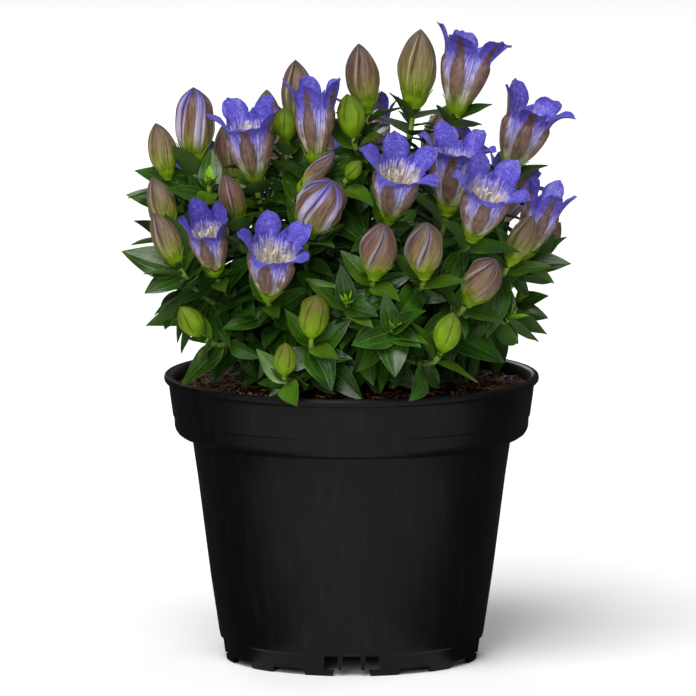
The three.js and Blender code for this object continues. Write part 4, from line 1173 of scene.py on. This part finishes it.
def green_stalk():
    """Green herbaceous stalk: smooth and waxy, purplish low down and yellow-green at its tip."""
    material, add = new_material("green_herbaceous_stalk")
    at = add("SeparateXYZ", add("Attribute", attribute_name="zone").outputs["Vector"]).outputs
    place = add("TexCoord").outputs["Object"]
    fibres = add("Mapping", Vector=place, Scale=(1, 1, 0.1))
    streak = add("TexNoise", Vector=fibres, Scale=1 / (0.8 * MM), Detail=3)
    ramp = add("ValToRGB", at[1], stops=[
        (0.0, "#4a3a2c"), (0.35, "#3c4a22"), (0.8, "#4f6a26"), (1.0, "#86a53a"),
    ])
    shade = add("MapRange", streak, 0.3, 0.7, 0.7, 1.2)
    base = add("Mix", 1.0, ramp, shade, **SHADE)
    bump = add("Bump", Height=streak, Strength=0.3, Distance=0.2 * MM)
    shader = add("BsdfPrincipled", Base_Color=base, Roughness=0.42, IOR=1.45, Normal=bump)
    add("OutputMaterial", Surface=shader)
    return material


def fresh_calyx():
    """Calyx and unripe bud: bright yellow-green tissue, smooth, with fine lengthwise veins."""
    material, add = new_material("fresh_green_calyx")
    at = add("SeparateXYZ", add("Attribute", attribute_name="zone").outputs["Vector"]).outputs
    place = add("TexCoord").outputs["Object"]
    lines = add("Math", at[0], 21, operation="MULTIPLY")
    comb = add("Math", lines, operation="SINE")
    cloud = add("TexNoise", Vector=place, Scale=1 / (5 * MM), Detail=4)
    ramp = add("ValToRGB", at[1], stops=[
        (0.0, "#7c9e1a"), (0.3, "#70900f"), (0.7, "#607c0c"), (1.0, "#485e10"),
    ])
    spots = add("MapRange", cloud, 0.35, 0.7, 0.72, 1.2)
    base = add("Mix", 1.0, ramp, spots, **SHADE)
    seam = add("Math", at[0], operation="ABSOLUTE")
    fold = add("MapRange", seam, 0.7, 1.0, 0, 0.45)
    folded = add("Mix", fold, base, colour("#4a6418"), **TINT)
    of = add("SeparateXYZ", add("Attribute", attribute_name="tone").outputs["Vector"]).outputs
    upper = add("MapRange", at[1], 0.3, 0.8, 0, 0.85)
    streaked = add("MapRange", cloud, 0.35, 0.6, 0.2, 1)
    flush = add("Math", upper, streaked, operation="MULTIPLY")
    flushed = add("Math", flush, of[2], operation="MULTIPLY")
    browned = add("Mix", flushed, folded, colour("#5a4620"), **TINT)
    bump = add("Bump", Height=comb, Strength=0.25, Distance=0.2 * MM)
    shader = add(
        "BsdfPrincipled", Base_Color=browned, Roughness=0.5, IOR=1.45, Specular_IOR_Level=0.2, Normal=bump,
    )
    add("OutputMaterial", Surface=shader)
    return material


def velvety_petal():
    """Gentian petal: soft blue-violet tissue, pale specks, brown-mauve panels outside, a spotted throat."""
    material, add = new_material("velvety_gentian_petal")
    at = add("SeparateXYZ", add("Attribute", attribute_name="zone").outputs["Vector"]).outputs
    of = add("SeparateXYZ", add("Attribute", attribute_name="tone").outputs["Vector"]).outputs
    aside = add("Math", at[0], operation="ABSOLUTE")
    # The petal laid flat, in millimetres: 7 from a lobe's middle to its fold, 25 along the tube
    flat_x = add("Math", at[0], 7.0, operation="MULTIPLY")
    flat_y = add("Math", at[1], 19.0, operation="MULTIPLY")
    lobe = add("Math", of[2], 37.0, operation="MULTIPLY")
    head = add("Math", of[0], 90.0, lobe, operation="MULTIPLY_ADD")
    flat = add("CombineXYZ", flat_x, flat_y, head)
    drawn = add("Mapping", Vector=flat, Scale=(1.5, 0.09, 1))
    streak = add("TexNoise", Vector=drawn, Scale=1.0, Detail=4)
    cloud = add("TexNoise", Vector=flat, Scale=0.42, Detail=3)
    half = add("Math", at[1], 0.5, operation="MULTIPLY")
    shaken = add("MapRange", streak, 0.3, 0.7, -0.13, 0.13)
    ragged = add("Math", half, shaken, operation="ADD")
    # Outside: brown-mauve panels over pale pleats
    stripe = add("ValToRGB", ragged, stops=[
        (0.06, "#8f9c3c"), (0.15, "#a3a670"), (0.23, "#aaa6b6"), (0.36, "#a79fce"), (0.47, "#8177c8"),
        (0.57, "#584db2"), (0.95, "#463b9e"),
    ])
    panel = add("ValToRGB", half, stops=[
        (0.05, "#86903a"), (0.14, "#807546"), (0.24, "#7a634f"), (0.38, "#755a52"), (0.5, "#644a48"),
        (0.7, "#5b4446"), (1.0, "#4a3d6c"),
    ])
    veins = add("MapRange", streak, 0.36, 0.62, 0.62, 1.15)
    panelled = add("Mix", 1.0, panel, veins, **SHADE)
    frayed = add("MapRange", streak, 0.3, 0.7, -0.45, 0.45)
    edge = add("Math", of[1], frayed, operation="ADD")
    is_panel = add("MapRange", edge, -0.3, 0.35, 0, 1, **SOFT)
    outside = add("Mix", is_panel, stripe, panelled, **TINT)
    # Inside: a pale throat with dark spots, and blue lobes with pale specks
    throat = add("ValToRGB", ragged, stops=[
        (0.18, "#b8b48c"), (0.3, "#d8d3c6"), (0.41, "#d2cbdc"), (0.49, "#9d93d4"), (0.57, "#5d52bd"),
        (0.75, "#554bb5"), (0.98, "#443a9f"),
    ])
    long_spots = add("Mapping", Vector=flat, Scale=(1.15, 0.62, 1))
    spots = add("TexVoronoi", Vector=long_spots, Scale=1.0, Randomness=0.4)
    dot = add("MapRange", spots, 0.2, 0.3, 0.85, 0, **SOFT)
    low = add("MapRange", at[1], 0.45, 0.55, 0, 1)
    high = add("MapRange", at[1], 0.84, 0.98, 1, 0)
    band = add("Math", low, high, operation="MULTIPLY")
    spotted = add("Math", band, dot, operation="MULTIPLY")
    throated = add("Mix", spotted, throat, colour("#2c2638"), **TINT)
    specks = add("TexVoronoi", Vector=flat, Scale=1.7)
    speck = add("MapRange", specks, 0.13, 0.3, 0.8, 0, **SOFT)
    on_lobe = add("MapRange", at[1], 1.1, 1.3, 0, 1)
    mid_lobe = add("MapRange", aside, 0.25, 0.55, 1, 0)
    where = add("Math", on_lobe, mid_lobe, operation="MULTIPLY")
    speckled = add("Math", where, speck, operation="MULTIPLY")
    past_throat = add("MapRange", at[1], 1.05, 1.35, 0, 0.75)
    to_rim = add("MapRange", aside, 0.25, 0.6, 0, 1, **SOFT)
    rim = add("Math", past_throat, to_rim, operation="MULTIPLY")
    rimmed = add("Mix", rim, throated, colour("#43379c"), **TINT)
    inside = add("Mix", speckled, rimmed, colour("#c0c1f4"), **TINT)
    both = add("Mix", at[2], outside, inside, **TINT)
    # Painted light and shade: large soft patches, lighter and darker at random over the petals
    light = add("MapRange", cloud, 0.35, 0.65, 0.7, 1.2)
    base = add("Mix", 1.0, both, light, **SHADE)
    place = add("TexCoord").outputs["Object"]
    crumple = add("TexNoise", Vector=place, Scale=1 / (3.5 * MM), Detail=3)
    wrinkled = add("Bump", Height=crumple, Strength=0.5, Distance=0.9 * MM)
    bump = add("Bump", Height=streak, Strength=0.45, Distance=0.4 * MM, Normal=wrinkled)
    shader = add(
        "BsdfPrincipled", Base_Color=base, Roughness=0.44, IOR=1.4, Normal=bump, Sheen_Weight=0.06,
        Sheen_Roughness=0.4,
    )
    add("OutputMaterial", Surface=shader)
    return material


def furled_bud():
    """Closed corolla: brown-mauve backs of petals over a yellow-green foot, with violet and white seams, and
    a painted shadow along the seams.
    """
    material, add = new_material("furled_gentian_bud")
    at = add("SeparateXYZ", add("Attribute", attribute_name="zone").outputs["Vector"]).outputs
    of = add("SeparateXYZ", add("Attribute", attribute_name="tone").outputs["Vector"]).outputs
    aside = add("Math", at[0], operation="ABSOLUTE")
    flat_x = add("Math", at[0], 9.0, operation="MULTIPLY")
    flat_y = add("Math", at[1], 3.0, operation="MULTIPLY")
    flat_z = add("Math", of[2], 70.0, operation="MULTIPLY")
    flat = add("CombineXYZ", flat_x, flat_y, flat_z)
    streak = add("TexNoise", Vector=flat, Scale=1.0, Detail=5)
    shaken = add("MapRange", streak, 0.3, 0.7, -0.12, 0.12)
    ragged = add("Math", at[1], shaken, operation="ADD")
    back = add("ValToRGB", ragged, stops=[
        (0.06, "#93ad18"), (0.24, "#879526"), (0.38, "#766638"), (0.6, "#6b4d3c"), (0.86, "#5c4139"),
        (1.0, "#3d2c2b"),
    ])
    green = add("ValToRGB", ragged, stops=[
        (0.06, "#91ab1a"), (0.32, "#808b26"), (0.6, "#6e6230"), (1.0, "#50402b"),
    ])
    ripe = add("MapRange", of[0], 0.2, 0.65, 0, 1)
    backed = add("Mix", ripe, green, back, **TINT)
    veins = add("MapRange", streak, 0.38, 0.62, 0.38, 1.25)
    veined = add("Mix", 1.0, backed, veins, **SHADE)
    seam = add("ValToRGB", ragged, stops=[
        (0.1, "#9aa062"), (0.3, "#ada4ac"), (0.6, "#a297b2"), (0.8, "#7f74ac"), (0.92, "#443898"),
        (1.0, "#2e2678"),
    ])
    start = add("MapRange", of[1], 0, 1, 0.96, 0.56)
    uneven = add("TexNoise", Vector=flat, Scale=0.22, Detail=2)
    wander = add("MapRange", uneven, 0.3, 0.7, -0.34, 0.34)
    wandered = add("Math", aside, wander, operation="ADD")
    past = add("Math", wandered, start, operation="SUBTRACT")
    is_seam = add("MapRange", past, -0.14, 0.14, 0, 1, **SOFT)
    low = add("MapRange", at[1], 0.15, 0.35, 0, 1)
    showing = add("Math", is_seam, low, operation="MULTIPLY")
    pale = add("MapRange", of[1], 0.08, 0.5, 0.1, 1)
    # Painted shadow along the seams: a darker violet line at each fold, and on buds with few stripes a
    # near-black brown seam in place of a pale one
    seam_shadow = add("MapRange", aside, 0.92, 1.0, 0, 0.6)
    seam_shadowed = add("Mix", seam_shadow, seam, colour("#5c50b4"), **TINT)
    seam_and_shadow = add("Mix", pale, colour("#34262a"), seam_shadowed, **TINT)
    veil = add("MapRange", uneven, 0.45, 0.7, 0, 0.4)
    high = add("MapRange", at[1], 0.3, 0.6, 0, 1)
    hazy = add("Math", veil, high, operation="MULTIPLY")
    hazed = add("Mix", hazy, veined, colour("#7c6a58"), **TINT)
    striped = add("Mix", showing, hazed, seam_and_shadow, **TINT)
    from_lip = add("Math", at[0], 0.8, operation="SUBTRACT")
    to_lip = add("Math", from_lip, operation="ABSOLUTE")
    lip = add("MapRange", to_lip, 0.02, 0.09, 0.55, 0, **SOFT)
    lipped = add("Math", lip, low, operation="MULTIPLY")
    edged = add("Mix", lipped, striped, colour("#a99c86"), **TINT)
    place = add("TexCoord").outputs["Object"]
    crumple = add("TexNoise", Vector=place, Scale=1 / (3 * MM), Detail=3)
    wrinkled = add("Bump", Height=crumple, Strength=0.5, Distance=0.9 * MM)
    bump = add("Bump", Height=streak, Strength=0.6, Distance=0.5 * MM, Normal=wrinkled)
    shader = add(
        "BsdfPrincipled", Base_Color=edged, Roughness=0.42, IOR=1.4, Normal=bump, Sheen_Weight=0.05,
        Sheen_Roughness=0.4,
    )
    add("OutputMaterial", Surface=shader)
    return material


def cream_stamen():
    """Filaments and pistil: pale, waxy and nearly white, with peach-cream mealy anthers."""
    material, add = new_material("cream_stamen")
    at = add("SeparateXYZ", add("Attribute", attribute_name="zone").outputs["Vector"]).outputs
    place = add("TexCoord").outputs["Object"]
    meal = add("TexNoise", Vector=place, Scale=1 / (0.5 * MM), Detail=3)
    base = add("Mix", at[1], colour("#c9c8a8"), colour("#e2c79c"), **TINT)
    shade = add("MapRange", meal, 0.3, 0.7, 0.82, 1.1)
    mealy = add("Mix", 1.0, base, shade, **SHADE)
    bump = add("Bump", Height=meal, Strength=0.4, Distance=0.15 * MM)
    shader = add("BsdfPrincipled", Base_Color=mealy, Roughness=0.6, IOR=1.4, Normal=bump)
    add("OutputMaterial", Surface=shader)
    return material


# Settings


def swatch(name, description, text):
    """A colour that a user can change."""
    return bpy.props.FloatVectorProperty(
        name=name, description=description, subtype="COLOR", size=3, default=colour(text)[:3], min=0, max=1,
    )


def amount(name, description, default, low, high, **more):
    """A number that a user can change between two limits."""
    return bpy.props.FloatProperty(
        name=name, description=description, default=default, min=low, max=high, **more,
    )


class GentianSettings(bpy.types.PropertyGroup):
    """Sizes and colours of the plant and its pot."""

    plastic: swatch("Pot plastic", "Colour of the moulded pot", "#060606")
    fibre: swatch("Peat fibre", "Colour of the dry fibres in the mix", "#a2734b")
    leaf_dark: swatch("Leaf, dark", "Darkest green of an old leaf", "#0a2304")
    leaf_mid: swatch("Leaf, middle", "Middle green of an old leaf", "#214a0a")
    leaf_young: swatch("Leaf, young", "Yellow-green of a growing tip", "#7fae1a")
    flare: amount("Lobe flare", "How far a lobe's tip leans", 62 * DEGREE, 0, 110 * DEGREE, subtype="ANGLE")
    lump: amount("Peat lumps", "Height of the crumbs on the mix", 1.3 * MM, 0, 4 * MM, unit="LENGTH")
    fibres: bpy.props.IntProperty(
        name="Peat fibres", description="How many loose fibres lie on the mix", default=620, min=0, max=2000,
    )


class GentianStageSettings(bpy.types.PropertyGroup):
    """Camera, floor and studio light."""

    distance: amount("Camera distance", "From the plant to the camera", 6.0, 1, 20, unit="LENGTH")
    elevation: amount("Camera elevation", "Above the horizon", 8 * DEGREE, 0, 89 * DEGREE, subtype="ANGLE")
    view_width: amount("View width", "What the picture spans at the plant", 0.3155, 0.1, 2, unit="LENGTH")
    floor: swatch("Floor", "Colour of the floor", "#f3f3f2")
    sun: amount("Overhead light", "Strength of the wide overhead light", 2.9, 0, 20)
    surround: amount("Surround", "Brightness of the pale room", 0.3, 0, 5)
    key_power: amount("Key light", "Power of the front light", 26, 0, 500, subtype="POWER")


# Operators


class GENTIAN_OT_pot(bpy.types.Operator):
    """Lathe the nursery pot, cut its feet, drain windows and drain holes, and finish it in black plastic"""

    bl_idname = "gentian.pot"
    bl_label = "Nursery pot"

    def execute(self, context):
        settings = context.scene.gentian
        build = Build()
        lathe_pot(build)
        made = build.piece("nursery_pot", [moulded_polypropylene(settings)], "pot_plastic", "pot")
        cut_pot(made)
        return {"FINISHED"}


POT_SEGMENTS = 192
# The row of the wall's points at the top of the lip, past which the wall is the pot's inside
LIP_TOP = 34
# From where to where a cut through the skirt runs, from the pot's axis, and one through the floor, upwards
SKIRT_CUT = (50, 64)
FLOOR_CUT = (5, 15)
HOLE_CIRCLE = 28
HOLE_RADIUS = 4
# The pot's wall from the middle of its floor's underside, round the foot, up the outside, over the lip, down
# the inside and back: radius and height
POT_WALL = [
    (0, 9.6), (30, 9.6), (54.6, 9.6), (55.3, 9.2), (55.35, 0.4), (55.7, 0), (56.9, 0), (57.25, 0.35),
    (58.35, 9.0), (58.7, 9.5), (59.6, 10.2), (60.1, 12.4), (61.2, 20), (64, 38.5), (66.9, 61), (69.7, 83),
    (72.2, 99.9), (72.8, 101.1), (74.2, 101.5), (77.2, 102.3), (78.8, 103.4), (79.75, 104.9), (80.2, 106.4),
    (80.42, 110.3), (80.6, 110.9), (81.0, 111.3), (81.6, 115.6), (82.3, 120.5), (82.85, 125.3),
    (83.1, 125.9), (84.2, 126.4), (84.85, 127.2), (85.0, 128.3), (84.75, 129.4), (84.1, 129.95), (83.2, 130),
    (82.0, 129.6), (81.4, 128.9), (80.9, 125), (79.3, 112), (78.5, 106.5), (77.2, 104.2), (72.2, 102.6),
    (70.8, 101.4), (69.4, 92), (64.6, 52), (58.6, 12.6), (57.6, 11.5), (30, 11.5), (0, 11.5),
]


def lathe_pot(build):
    """The pot before its cuts, with zone x = 1 on its inside."""
    rings = POT_WALL[1:-1]
    angles = [k * 2 * math.pi / POT_SEGMENTS for k in range(POT_SEGMENTS)]
    points = [
        (radius * math.cos(a), radius * math.sin(a), height) for radius, height in rings for a in angles
    ]
    points += [(0, 0, POT_WALL[0][1]), (0, 0, POT_WALL[-1][1])]
    inner = [[float(row > LIP_TOP), 0, 0] for row in range(len(rings)) for _ in range(POT_SEGMENTS)]
    build.take(points, closed(len(rings), POT_SEGMENTS), 0, inner + [[0, 0, 0], [1, 0, 0]])


def cutter(corners_low, corners_high):
    """A closed prism between two outlines with as many corners."""
    count = len(corners_low)
    faces = [list(range(count))[::-1], list(range(count, 2 * count))]
    for k in range(count):
        n = (k + 1) % count
        faces.append([k, n, n + count, k + count])
    return np.array(corners_low + corners_high, float), faces


def cut_pot(made):
    """Twelve notches between the feet, four drain windows with two ribs each, and the drain holes."""
    build = Build()
    for k in range(12):
        add_bar(build, [(-8.95, -1), (8.95, -1), (7.75, 2.8), (-7.75, 2.8)], k * 30)
    for k in range(4):
        for left, right in ((-12.5, -6.0), (-4.4, 4.4), (6.0, 12.5)):
            add_bar(build, [(left, 2.7), (right, 2.7), (right - 0.3, 9.3), (left + 0.3, 9.3)], k * 90)
    turns = np.linspace(0, 2 * math.pi, 33)[:-1]
    quarters = [k * math.pi / 2 for k in range(4)]
    for x, y in [(HOLE_CIRCLE * math.cos(a), HOLE_CIRCLE * math.sin(a)) for a in quarters] + [(0, 0)]:
        hole = [(x + HOLE_RADIUS * math.cos(a), y + HOLE_RADIUS * math.sin(a)) for a in turns]
        low, high = ([(*point, z) for point in hole] for z in FLOOR_CUT)
        build.take(*cutter(low, high))
    tool = build.solid("cutters")
    modifier = made.modifiers.new("cuts", "BOOLEAN")
    modifier.operation = "DIFFERENCE"
    modifier.solver = "EXACT"
    modifier.use_self = True
    modifier.object = tool
    graph = bpy.context.evaluated_depsgraph_get()
    cut = bpy.data.meshes.new_from_object(made.evaluated_get(graph))
    made.modifiers.clear()
    made.data = cut
    bpy.data.objects.remove(tool)
    cut.shade_smooth()
    cut.set_sharp_from_angle(angle=34 * DEGREE)


def add_bar(build, outline, degrees):
    """A bar with an outline (across, up) that runs out through the skirt at an angle."""
    angle = (degrees - 90) * DEGREE
    out = np.array([math.cos(angle), math.sin(angle), 0])
    beside = np.array([-math.sin(angle), math.cos(angle), 0])
    near, far = ([tuple(out * reach + beside * x + UP * z) for x, z in outline] for reach in SKIRT_CUT)
    build.take(*cutter(near, far))


class GENTIAN_OT_soil(bpy.types.Operator):
    """Lay the potting mix, lumpy on top, with loose crumbs and fibres on it"""

    bl_idname = "gentian.soil"
    bl_label = "Potting mix"

    def execute(self, context):
        settings = context.scene.gentian
        build = Build()
        soil_body(build, settings.lump / MM)
        for k in range(CRUMBS):
            crumb(build, k, settings.lump / MM)
        for k in range(settings.fibres):
            fibre(build, k, settings.lump / MM)
        build.piece("peat_mix", [damp_peat(settings)], "potting_mix", "soil")
        return {"FINISHED"}


def lumpy(x, y, lump):
    """The mix's height, with its lumps."""
    coarse = noise.noise(Vector((x * 0.13, y * 0.13, 3.1)))
    fine = noise.noise(Vector((x * 0.42, y * 0.42, 8.7)))
    tiny = noise.noise(Vector((x * 1.1, y * 1.1, 1.7)))
    edge = 1 - 0.7 * smooth(math.hypot(x, y), 72, 80)
    return soil_height(x, y) + lump * edge * (0.9 * coarse + 0.75 * fine + 0.35 * tiny)


SOIL_SEGMENTS = 220
CRUMBS = 520
# A fibre that would reach further from the pot's axis is left out
FIBRE_REACH = 78.5


def soil_body(build, lump):
    """The mix as the pot holds it, from the pot's floor up to a lumpy top."""
    angles = np.arange(SOIL_SEGMENTS) * 2 * math.pi / SOIL_SEGMENTS
    radii = [SOIL_RADIUS * share for share in np.linspace(1, 0.02, 62)]
    walls = [(58.0, SOIL_FOOT), (70.2, 102.5), (77.4, 107.8)]
    points = [
        (radius * math.cos(a), radius * math.sin(a), height) for radius, height in walls for a in angles
    ]
    for radius in radii:
        for a in angles:
            x, y = radius * math.cos(a), radius * math.sin(a)
            points.append((x, y, lumpy(x, y, lump)))
    points += [(0, 0, SOIL_FOOT), (0, 0, lumpy(0, 0, lump))]
    build.take(points, closed(len(walls) + len(radii), SOIL_SEGMENTS))


def scatter(k, salt):
    """A place on the mix for the k-th loose bit."""
    radius = OPEN_MIX * math.sqrt(chance(k * 1.37 + salt))
    angle = 2 * math.pi * chance(k * 2.11 + salt + 0.3)
    return radius * math.cos(angle), radius * math.sin(angle)


def crumb(build, k, lump):
    """A small angular crumb of peat or bark."""
    x, y = scatter(k, 17)
    size = 0.5 + 1.3 * chance(k + 0.7) ** 2
    centre = np.array([x, y, lumpy(x, y, lump) + size * 0.35])
    points = []
    for row, (height, wide) in enumerate(((-0.6, 0.7), (0.05, 1.05), (0.6, 0.62))):
        for i in range(6):
            angle = i * math.pi / 3 + row * 0.5
            jag = 0.75 + 0.5 * chance(k * 7.3 + row * 6 + i)
            spot = (wide * jag * math.cos(angle), 0.8 * wide * jag * math.sin(angle), height * jag)
            points.append(centre + size * np.array(spot))
    points += [centre - UP * size * 0.7, centre + UP * size * 0.75]
    build.take(points, closed(3, 6), tone=(chance(k), 0.5 * chance(k + 0.2) ** 2, 0))


def fibre(build, k, lump):
    """A loose peat fibre: a thin curved thread, half sunk in the mix."""
    x, y = scatter(k, 51)
    length = 3 + 7 * chance(k + 0.1)
    angle = 2 * math.pi * chance(k + 0.2)
    bow = 0.6 * (chance(k + 0.4) - 0.5)
    thick = 0.12 + 0.16 * chance(k + 0.6)
    points = []
    count = 6
    for i in range(count):
        s = i / (count - 1) - 0.5
        heading = angle + bow * s * 4
        px = x + length * s * math.cos(heading)
        py = y + length * s * math.sin(heading)
        if math.hypot(px, py) > FIBRE_REACH:
            return
        pz = lumpy(px, py, lump) + 0.12 + 0.5 * chance(k + 0.9) * (1 - 4 * s * s)
        beside = np.array([-math.sin(heading), math.cos(heading), 0])
        points.extend(hoop(np.array([px, py, pz]), beside, UP, thick, 3))
    points += [points[0] * 0.5 + points[1] * 0.5, points[-1] * 0.5 + points[-2] * 0.5]
    build.take(points, closed(count, 3), tone=(chance(k), 0.35 + 0.65 * chance(k + 0.8), 0))


class GENTIAN_OT_leafy_stems(bpy.types.Operator):
    """Grow every leafy stem with its leaves, calyces and unripe buds"""

    bl_idname = "gentian.leafy_stems"
    bl_label = "Leafy stems"

    def execute(self, context):
        materials = [waxy_leaf(context.scene.gentian), green_stalk(), fresh_calyx()]
        plant = Plant()
        for node, stems in plant.shoots:
            build = Build()
            for blade in plant.blades[node]:
                leaf(build, blade)
            for stem in stems:
                stalk(build, stem.path, stem.radius, stem.pairs, 1, 0 if stem.leader else ROOT_DEPTH)
                if stem.kind["corolla"]:
                    calyx(build, stem, 2)
                elif stem.head["kind"] == "green":
                    closed_bud(build, stem, 2, foot=-0.8)
                else:
                    growing_tip(build, stem)
            build.piece(node.replace("leafy", "fine_leafy"), materials, "foliage", node)
        return {"FINISHED"}


def growing_tip(build, stem):
    """The youngest leaves, still upright and folded round the growing point."""
    for k in range(6):
        row = k // 2
        pair = {
            "t": 1 - 0.4 / stem.path.length,
            "length": 5.5 + 1.6 * row,
            "lift": 78 - 10 * row,
            "arch": 0.1,
            "turn": 45 + row * 90,
        }
        seed = stem.seed + 900 + k * 1.9
        blade = blade_frame(stem.path, pair, k % 2, seed, (0, 0, 1))
        blade.update(root=stem.path.point(1.0) + blade["along"] * 0.7, seed=seed, young=1.7, fine=False)
        leaf(build, blade)


class GENTIAN_OT_bells(bpy.types.Operator):
    """Open the bells: pouched tubes with flaring lobes, and the stamens and pistil inside"""

    bl_idname = "gentian.bells"
    bl_label = "Bells"

    def execute(self, context):
        materials = [velvety_petal(), cream_stamen()]
        for stem in stems_with("bell"):
            build = Build()
            open_bell(build, stem, 0, context.scene.gentian.flare)
            stamens(build, stem, 1)
            build.piece("fine_" + stem.node, materials, "petals", stem.node)
        return {"FINISHED"}


class GENTIAN_OT_buds(bpy.types.Operator):
    """Shape the closed buds, furled and twisted to a point"""

    bl_idname = "gentian.buds"
    bl_label = "Buds"

    def execute(self, context):
        materials = [furled_bud()]
        for stem in stems_with("bud"):
            build = Build()
            closed_bud(build, stem, 0)
            build.piece("fine_" + stem.node, materials, "bud_skin", stem.node)
        return {"FINISHED"}


def stems_with(corolla):
    """Every stem whose head holds that kind of corolla."""
    return [stem for _, stems in shoots() for stem in stems if stem.kind["corolla"] == corolla]


# Where each soft light hangs, in metres, and its share of the front light's power
SOFT_LIGHTS = [("key", (-0.5, -2.6, 0.9), 1), ("rim", (1.5, 1.0, 0.9), 0.25), ("back", (-0.7, 2.2, 1.0), 0.4)]
PLANT_MIDDLE = Vector((0, 0, 0.15))


class GENTIAN_OT_stage(bpy.types.Operator):
    """Set the floor, the studio lights and the camera"""

    bl_idname = "gentian.stage"
    bl_label = "Stage"

    def execute(self, context):
        stage = context.scene.gentian_stage
        lay_floor(stage)
        hang("overhead", "SUN", (-0.2, -0.55, 1.0), angle=40 * DEGREE, energy=stage.sun)
        for name, place, share in SOFT_LIGHTS:
            hang(name, "AREA", place, shape="SQUARE", size=0.8, energy=stage.key_power * share)
        stand_cards()
        world = bpy.data.worlds.new("pale_studio")
        world.use_nodes = True
        back = world.node_tree.nodes["Background"]
        back.inputs["Color"].default_value = colour("#f4f5f7")
        back.inputs["Strength"].default_value = stage.surround
        context.scene.world = world
        context.scene.view_settings.view_transform = "Standard"
        place_camera(context, stage)
        return {"FINISHED"}


def matte_paper(stage):
    """Pale seamless paper, unglazed: it spreads light evenly and takes a soft shadow."""
    material, add = new_material("matte_paper_sweep")
    add("OutputMaterial", Surface=add("BsdfPrincipled", Base_Color=(*stage.floor, 1), Roughness=0.8))
    return material


def black_card():
    """Black card, matt: it gives no light back but a trace of grey."""
    material, add = new_material("black_card")
    shader = add("BsdfPrincipled", Base_Color=colour("#3c3c3c"), Roughness=1.0, Specular_IOR_Level=0.0)
    add("OutputMaterial", Surface=shader)
    return material


def lay_floor(stage):
    """A floor so wide, in metres, that its edge is never seen."""
    span = 60
    corners = [(-span, -span, 0), (span, -span, 0), (span, span, 0), (-span, span, 0)]
    floor = in_scene("floor", corners, [(0, 1, 2, 3)])
    floor.data.materials.append(matte_paper(stage))


def stand_cards():
    """Two folded black cards beside the pot that only shiny things see, so that its sides are dark."""
    near, far, front, back, low, tall = 0.05, 0.3, -0.1, 0.2, 0.0005, 0.4
    corners = []
    faces = []
    for side in (-1, 1):
        outline = [(near * side, front), (near * side, back), (far * side, back), (far * side, front)]
        first = len(corners)
        corners += [(x, y, z) for z in (low, tall) for x, y in outline]
        for face in ((0, 1, 2, 3), (1, 2, 6, 5), (2, 3, 7, 6)):
            faces.append([first + k for k in face])
    card = in_scene("card", corners, faces)
    card.data.materials.append(black_card())
    for ray in ("camera", "diffuse", "shadow", "transmission"):
        setattr(card, "visible_" + ray, False)


def hang(name, kind, place, **settings):
    """A soft light that looks at the middle of the plant."""
    light = bpy.data.lights.new(name, kind)
    for key, value in settings.items():
        setattr(light, key, value)
    lamp = bpy.data.objects.new(name, light)
    bpy.context.scene.collection.objects.link(lamp)
    lamp.location = place
    lamp.rotation_euler = (PLANT_MIDDLE - lamp.location).to_track_quat("-Z", "Y").to_euler()
    lamp.visible_camera = False


# The middle of the picture on the plane through the pot's axis, across and up
PICTURE_MIDDLE = (-1.6, 141.4)


def place_camera(context, stage):
    """The camera at the photograph's angle, far off and with a long lens."""
    data = bpy.data.cameras.new("camera")
    camera = bpy.data.objects.new("camera", data)
    context.scene.collection.objects.link(camera)
    back = Vector((0, -math.cos(stage.elevation), math.sin(stage.elevation)))
    middle = Vector((PICTURE_MIDDLE[0] * MM, 0, PICTURE_MIDDLE[1] * MM))
    camera.location = middle + back * stage.distance
    camera.rotation_euler = (-back).to_track_quat("-Z", "Y").to_euler()
    data.sensor_width = 36
    data.lens = data.sensor_width * stage.distance / stage.view_width
    data.clip_end = 60
    context.scene.camera = camera


class GENTIAN_PT_panel(bpy.types.Panel):
    """Lists the plant's settings and its operators"""

    bl_idname = "GENTIAN_PT_panel"
    bl_label = "Gentian"
    bl_space_type = "VIEW_3D"
    bl_region_type = "UI"
    bl_category = "Gentian"

    def draw(self, context):
        column = self.layout.column()
        for group in (context.scene.gentian, context.scene.gentian_stage):
            for key in group.__annotations__:
                column.prop(group, key)
        for operator in OPERATORS:
            column.operator(operator.bl_idname)


OPERATORS = (
    GENTIAN_OT_pot,
    GENTIAN_OT_soil,
    GENTIAN_OT_leafy_stems,
    GENTIAN_OT_bells,
    GENTIAN_OT_buds,
    GENTIAN_OT_stage,
)
CLASSES = (GentianSettings, GentianStageSettings, *OPERATORS, GENTIAN_PT_panel)


def register():
    for each in CLASSES:
        bpy.utils.register_class(each)
    bpy.types.Scene.gentian = bpy.props.PointerProperty(type=GentianSettings)
    bpy.types.Scene.gentian_stage = bpy.props.PointerProperty(type=GentianStageSettings)


def unregister():
    del bpy.types.Scene.gentian_stage
    del bpy.types.Scene.gentian
    for each in reversed(CLASSES):
        bpy.utils.unregister_class(each)


def main():
    register()
    bpy.ops.gentian.pot()
    bpy.ops.gentian.soil()
    bpy.ops.gentian.leafy_stems()
    bpy.ops.gentian.bells()
    bpy.ops.gentian.buds()
    bpy.ops.gentian.stage()


if __name__ == "__main__":
    main()
